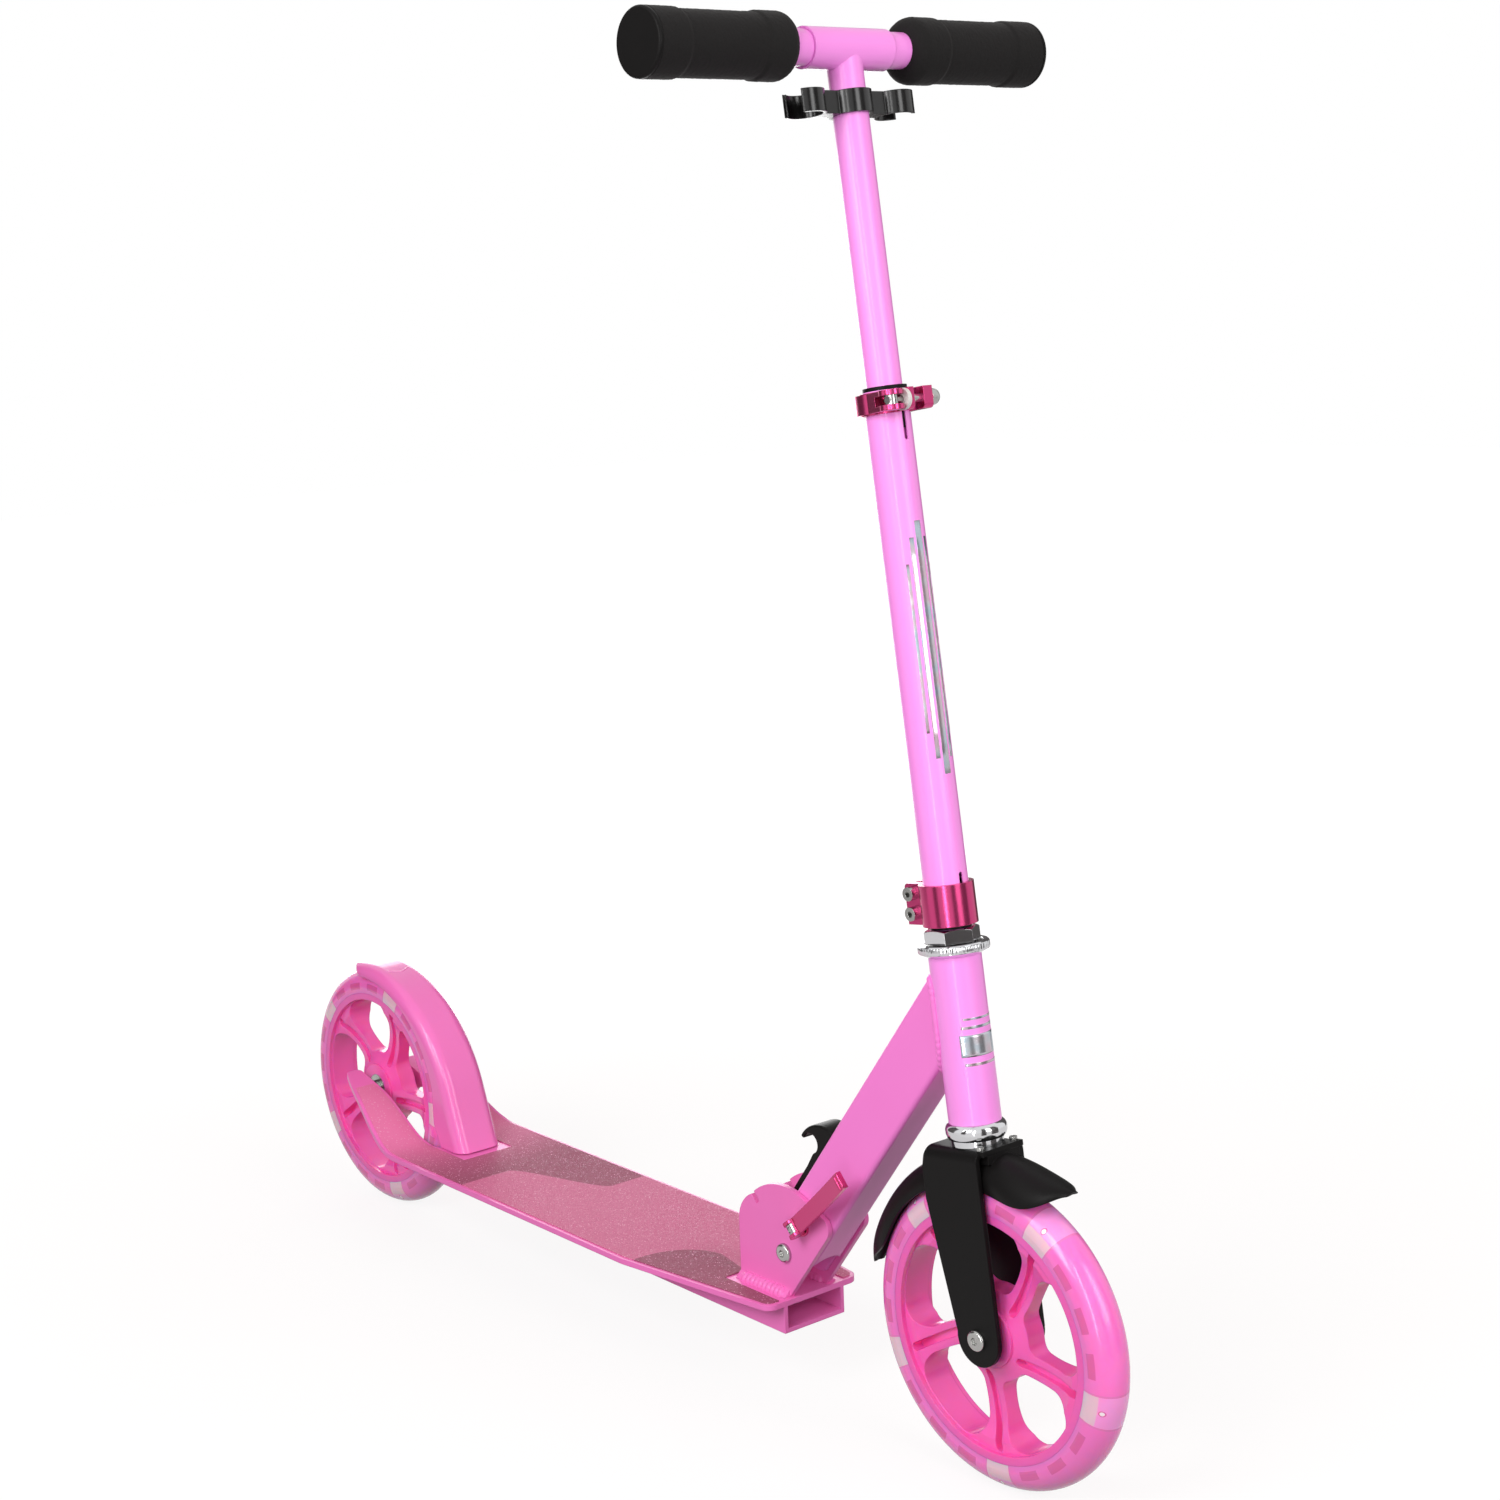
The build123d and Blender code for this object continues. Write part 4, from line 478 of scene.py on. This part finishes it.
def neckBead():
    # rounded rectangle of the neck's section, carried along the neck onto the head tube's cylinder
    turn = np.linspace(0, math.tau, weld["neckRows"], endpoint=False)
    across = weld["neckHalfWidth"] * np.sign(np.cos(turn)) * np.abs(np.cos(turn)) ** weld["neckSquareness"]
    off = weld["neckHalfDepth"] * np.sign(np.sin(turn)) * np.abs(np.sin(turn)) ** weld["neckSquareness"]
    ahead = -np.sqrt(weld["headRadius"] ** 2 - across ** 2)
    start = (scooter["frontAxle"] - scooter["pivot"]) @ neckUp
    height = (off - start - ahead * (aheadDir @ neckUp)) / (steerDir @ neckUp)
    outward = ahead[:, None] * aheadDir + across[:, None] * sideDir
    path = scooter["frontAxle"] + outward + height[:, None] * steerDir
    length = np.concatenate([[0], np.cumsum(np.linalg.norm(np.diff(path, axis=0), axis=1))])
    radius = weld["neckRadius"] * ripples(length)
    return sweep(path, outward, radius, radius, weld["neckSides"], closed=True)


gridPiece("plateWelds", [footBead(-1), footBead(1)], False, deckEnamelPaintedShade, "deck")
gridPiece("neckWeld", [neckBead()], True, frameEnamelPaintedShade, "neck")
print("welds done")

# foil trim: pinstripes on the steering tube, a band and fine lines on the head tube; each is a middle angle and
# half width in degrees, and the heights of its ends above the front axle; patch and grain in mm
foilTrim = {
    "tubeRadius": 0.014, "headRadius": 0.0166, "proud": 0.00008, "sunk": 0.0003, "columns": 33, "rows": 9,
    "stripes": ((0, 10, 0.352, 0.508), (23, 6, 0.362, 0.498), (-23, 6, 0.362, 0.498), (41, 4, 0.378, 0.482),
                (-41, 4, 0.378, 0.482)),
    "bands": ((0, 56, 0.177, 0.1906), (0, 50, 0.1713, 0.1731), (0, 50, 0.1943, 0.1961), (0, 44, 0.1998, 0.2012)),
    "tints": ((0.0, "#a9adb2"), (0.38, "#b4c4cf"), (0.5, "#c9c5cc"), (0.62, "#cdb6c2"), (1.0, "#bcc2b6")),
    "patch": 14, "grain": 0.8, "roughLow": 0.16, "roughHigh": 0.32, "metal": 0.9,
}


def foilLook(name):
    # hot-stamped holographic foil: silver whose tint drifts through pale rainbow patches about 14 mm wide
    material, tree, shader, coords = startMaterial(name)
    drift = addNode(tree, "ShaderNodeTexNoise", {"Scale": mmPerMetre / foilTrim["patch"], "Detail": 1.0},
                    {"Vector": coords})
    ramp = addNode(tree, "ShaderNodeValToRGB", links={0: drift})
    for stop, (place, colour) in enumerate(foilTrim["tints"]):
        point = ramp.color_ramp.elements[0] if stop == 0 else ramp.color_ramp.elements.new(place)
        point.position = place
        point.color = linear(colour)
    tree.links.new(ramp.outputs[0], shader.inputs["Base Color"])
    grain = addNode(tree, "ShaderNodeTexNoise", {"Scale": mmPerMetre / foilTrim["grain"], "Detail": 3.0},
                    {"Vector": coords})
    rough = addNode(tree, "ShaderNodeMapRange", {"To Min": foilTrim["roughLow"], "To Max": foilTrim["roughHigh"]},
                    {"Value": grain})
    tree.links.new(rough.outputs[0], shader.inputs["Roughness"])
    setShader(shader, foilTrim)
    return material


def foilPatch(radius, middle, half, low, high):
    # patch on a cylinder about the steering axis: angle across, height along, a thin closed skin
    angles = np.radians(np.linspace(middle - half, middle + half, foilTrim["columns"]))
    angles = np.concatenate([angles, angles[::-1]])
    radii = np.repeat((radius + foilTrim["proud"], radius - foilTrim["sunk"]), foilTrim["columns"])
    across = np.cos(angles)[:, None] * aheadDir + np.sin(angles)[:, None] * sideDir
    heights = np.linspace(low, high, foilTrim["rows"])
    return scooter["frontAxle"] + (radii[:, None] * across)[:, None] + heights[None, :, None] * steerDir


foil = foilLook("hotStampedFoil")
stripes = [foilPatch(foilTrim["tubeRadius"], *stripe) for stripe in foilTrim["stripes"]]
bands = [foilPatch(foilTrim["headRadius"], *band) for band in foilTrim["bands"]]
gridPiece("tubeFoil", stripes, False, foil, "steering")
gridPiece("headFoil", bands, False, foil, "neck")
print("foil done")

# knurled grip on the upper headset cup: radius is a cosine of the angle with one wave a tooth, over a short band
knurl = {"radius": 0.0222, "depth": 0.0003, "teeth": 60, "perTooth": 6, "from": 0.2417, "to": 0.2463,
         "chamfer": 0.0006, "inner": 0.0214}
turn = np.linspace(0, math.tau, knurl["teeth"] * knurl["perTooth"], endpoint=False)
tooth = knurl["radius"] + knurl["depth"] * (0.5 + 0.5 * np.cos(turn * knurl["teeth"]))
root, inner = tooth - knurl["depth"], np.full_like(turn, knurl["inner"])
circle = np.cos(turn)[:, None] * aheadDir + np.sin(turn)[:, None] * sideDir
rows = [(root, knurl["from"]), (tooth, knurl["from"] + knurl["chamfer"]), (tooth, knurl["to"] - knurl["chamfer"]),
        (root, knurl["to"]), (inner, knurl["to"]), (inner, knurl["from"])]
grid = np.stack([scooter["frontAxle"] + radius[:, None] * circle + height * steerDir for radius, height in rows], 1)
gridPiece("cupKnurl", [grid], True, chrome, "neck")

# thumb ridges across the lock lever's tip: blunt ovals, placed along the lever and off its barrel
ridge = {"barrel": 0.030, "side": -0.02555, "angle": math.radians(41.0), "rows": 25, "blunt": 6,
         "places": ((0.0748, -0.01055), (0.0790, -0.0114)), "halfWidth": 0.0055, "half": 0.0013, "rise": 0.001}
leverDir = np.array((math.cos(ridge["angle"]), 0, math.sin(ridge["angle"])))
leverUp = np.array((-math.sin(ridge["angle"]), 0, math.cos(ridge["angle"])))
share = np.linspace(-1, 1, ridge["rows"])
taper = endTaper(share, ridge["blunt"])
ridges = []
for along, off in ridge["places"]:
    middle = scooter["pivot"] + ridge["barrel"] * neckDir + along * leverDir + (ridge["side"] + off) * sideDir
    path = middle + share[:, None] * ridge["halfWidth"] * leverUp
    ridges.append(sweep(path, np.tile(-sideDir, (len(share), 1)), ridge["half"] * taper, ridge["rise"] * taper))
gridPiece("leverRidges", ridges, False, anodised, "lock_lever")

# foot-brake tread on the fender: shallow moulded chevrons that follow its crown; the angle round the axle grows
# with the distance from the middle, rounded over the tip; angles in degrees, slope in degrees a metre
tread = {"radius": 0.1075, "from": 34.0, "to": 74.0, "count": 9, "halfWidth": 0.011, "slope": 300.0, "tip": 0.0015,
         "half": 0.0011, "rise": 0.0005, "rows": 41, "blunt": 8, "sides": 12}
across = np.linspace(-tread["halfWidth"], tread["halfWidth"], tread["rows"])
taper = endTaper(across / tread["halfWidth"], tread["blunt"])
chevrons = []
for start in np.linspace(tread["from"], tread["to"], tread["count"]):
    angle = np.radians(start + tread["slope"] * np.sqrt(across ** 2 + tread["tip"] ** 2))
    outward = np.stack([np.cos(angle), np.zeros_like(angle), np.sin(angle)], 1)
    path = scooter["rearAxle"] + tread["radius"] * outward + across[:, None] * sideDir
    chevrons.append(sweep(path, outward, tread["half"] * taper, tread["rise"] * taper, tread["sides"]))
gridPiece("fenderTread", chevrons, False, fenderAbs, "fender")
print("small forms done")

# camera where the photograph was taken
view = {"azimuth": 0.9194, "elevation": 0.1647, "roll": math.radians(-2.58), "distance": 1.7857,
        "target": Vector((-0.005, 0.0, 0.45)), "focalPixels": 2497.4, "centre": (624.17, 719.56), "pixels": 1500,
        "sensor": 36, "farClip": 50}
back = Vector((math.sin(view["azimuth"]) * math.cos(view["elevation"]),
               -math.cos(view["azimuth"]) * math.cos(view["elevation"]), math.sin(view["elevation"])))
level = (-back).cross(Vector((0, 0, 1))).normalized()
upright = level.cross(-back)
right = level * math.cos(view["roll"]) + upright * math.sin(view["roll"])
up = upright * math.cos(view["roll"]) - level * math.sin(view["roll"])
camera = bpy.data.objects.new("camera", bpy.data.cameras.new("camera"))
scene.collection.objects.link(camera)
turned = Matrix((right, up, back)).transposed().to_4x4()
camera.matrix_world = Matrix.Translation(view["target"] + back * view["distance"]) @ turned
camera.data.sensor_width = view["sensor"]
camera.data.lens = view["focalPixels"] / view["pixels"] * view["sensor"]
camera.data.shift_x = (view["pixels"] / 2 - view["centre"][0]) / view["pixels"]
camera.data.shift_y = (view["centre"][1] - view["pixels"] / 2) / view["pixels"]
camera.data.clip_end = view["farClip"]
scene.camera = camera

# stage: white paper that keeps the shadow, even sky, soft boxes and grey flats round it for the metal to mirror;
# a flat is its turn and half width in degrees, from the camera's side to its right
stage = {
    "paper": "#6c6c6c", "glow": "#ffffff", "glowNear": 0.86, "glowFar": 0.97, "nearRadius": 0.4, "farRadius": 2.0,
    "paperInGloss": 0.8, "half": 8.0, "sky": 0.4, "skyTint": "#ffe2dc", "flatGrey": "#666666", "flatDistance": 1.35,
    "flatHeight": 1.5, "flats": ((-42, 9), (24, 7), (58, 12), (140, 26), (-112, 26)),
}


def card(name, corners, material):  # one flat face on four corners, no part of the scooter
    mesh = bpy.data.meshes.new(name)
    mesh.from_pydata([tuple(c) for c in corners], [], [(0, 1, 2, 3)])
    mesh.materials.append(material)
    piece = bpy.data.objects.new(name, mesh)
    scene.collection.objects.link(piece)
    return piece


def backdropRays(tree, inGloss):
    # one where the camera looks, straight or through clear plastic, inGloss where a gloss mirrors, zero elsewhere
    rays = addNode(tree, "ShaderNodeLightPath").outputs
    mirrored = addNode(tree, "ShaderNodeMath", {"operation": "MULTIPLY", 1: inGloss}, {0: rays["Is Glossy Ray"]})
    seen = addNode(tree, "ShaderNodeMath", {"operation": "MAXIMUM"}, {0: rays["Is Camera Ray"], 1: mirrored})
    return addNode(tree, "ShaderNodeMath", {"operation": "MAXIMUM"}, {0: seen, 1: rays["Is Transmission Ray"]})


# matt paper whose glow is a little lower near the scooter, where the lamps make up for it, so the shadow shows
paper, tree, shader, coords = startMaterial("paperSweep")
shader.inputs["Base Color"].default_value = linear(stage["paper"])
shader.inputs["Roughness"].default_value = 1.0
shader.inputs["Specular IOR Level"].default_value = 0.0
shader.inputs["Emission Color"].default_value = linear(stage["glow"])
seen = backdropRays(tree, stage["paperInGloss"])
reach = addNode(tree, "ShaderNodeVectorMath", {"operation": "LENGTH"}, {0: coords}).outputs["Value"]
glowHere = addNode(tree, "ShaderNodeMapRange", {
    "From Min": stage["nearRadius"], "From Max": stage["farRadius"], "To Min": stage["glowNear"],
    "To Max": stage["glowFar"]}, {"Value": reach})
glow = addNode(tree, "ShaderNodeMath", {"operation": "MULTIPLY"}, {0: seen, 1: glowHere})
tree.links.new(glow.outputs[0], shader.inputs["Emission Strength"])
half = stage["half"]
card("floor", [(-half, -half, 0), (half, -half, 0), (half, half, 0), (-half, half, 0)], paper)

world = bpy.data.worlds.new("studio")
scene.world = world
world.use_nodes = True
tree = world.node_tree
tree.nodes.clear()
seen = backdropRays(tree, 1.0)
strength = addNode(tree, "ShaderNodeMapRange", {"To Min": stage["sky"], "To Max": 1.0}, {"Value": seen})
tint = addNode(tree, "ShaderNodeMix", {
    "data_type": "RGBA", 6: linear(stage["skyTint"]), 7: linear(stage["glow"])}, {0: seen})
sky = addNode(tree, "ShaderNodeBackground", links={"Color": tint.outputs[2], "Strength": strength})
addNode(tree, "ShaderNodeOutputWorld", links={"Surface": sky})

middle = view["target"]
toCamera = Vector((back.x, back.y, 0))
greyCard, _, shader, _ = startMaterial("greyCard")  # matt painted card
shader.inputs["Base Color"].default_value = linear(stage["flatGrey"])
shader.inputs["Roughness"].default_value = 1.0
low, high = Vector((0, 0, -middle.z)), Vector((0, 0, stage["flatHeight"] - middle.z))
for number, (turn, half) in enumerate(stage["flats"]):
    angles = [math.radians(edge) for edge in (turn - half, turn + half)]
    feet = [middle + (toCamera * math.cos(a) + level * math.sin(a)) * stage["flatDistance"] for a in angles]
    flat = card(f"flat{number}", [feet[0] + low, feet[1] + low, feet[1] + high, feet[0] + high], greyCard)
    flat.visible_camera = flat.visible_diffuse = flat.visible_shadow = flat.visible_transmission = False

# soft boxes: metres towards the camera, to its right and up from the scooter's middle, width and height, watts
lamps = {
    "keyLeft": (1.3, -1.1, 0.6, (1.0, 1.0), 24),
    "fillRight": (1.4, 1.2, 0.35, (1.2, 1.2), 17),
    "backLow": (-1.6, 0.0, 0.25, (1.4, 0.9), 11),
    "stripFront": (1.7, -0.25, -0.178726, (0.14, 1.5), 6),
}


def softbox(name, near, aside, above, size, watts):  # area lamp aimed at the scooter's middle
    lamp = bpy.data.lights.new(name, "AREA")
    lamp.shape = "RECTANGLE"
    lamp.size, lamp.size_y = size
    lamp.energy = watts
    box = bpy.data.objects.new(name, lamp)
    scene.collection.objects.link(box)
    box.location = middle + back * near + level * aside + Vector((0, 0, above))
    box.rotation_euler = (middle - box.location).to_track_quat("-Z", "Y").to_euler()
    box.visible_camera = False


for name, lamp in lamps.items():
    softbox(name, *lamp)
print("stage done")
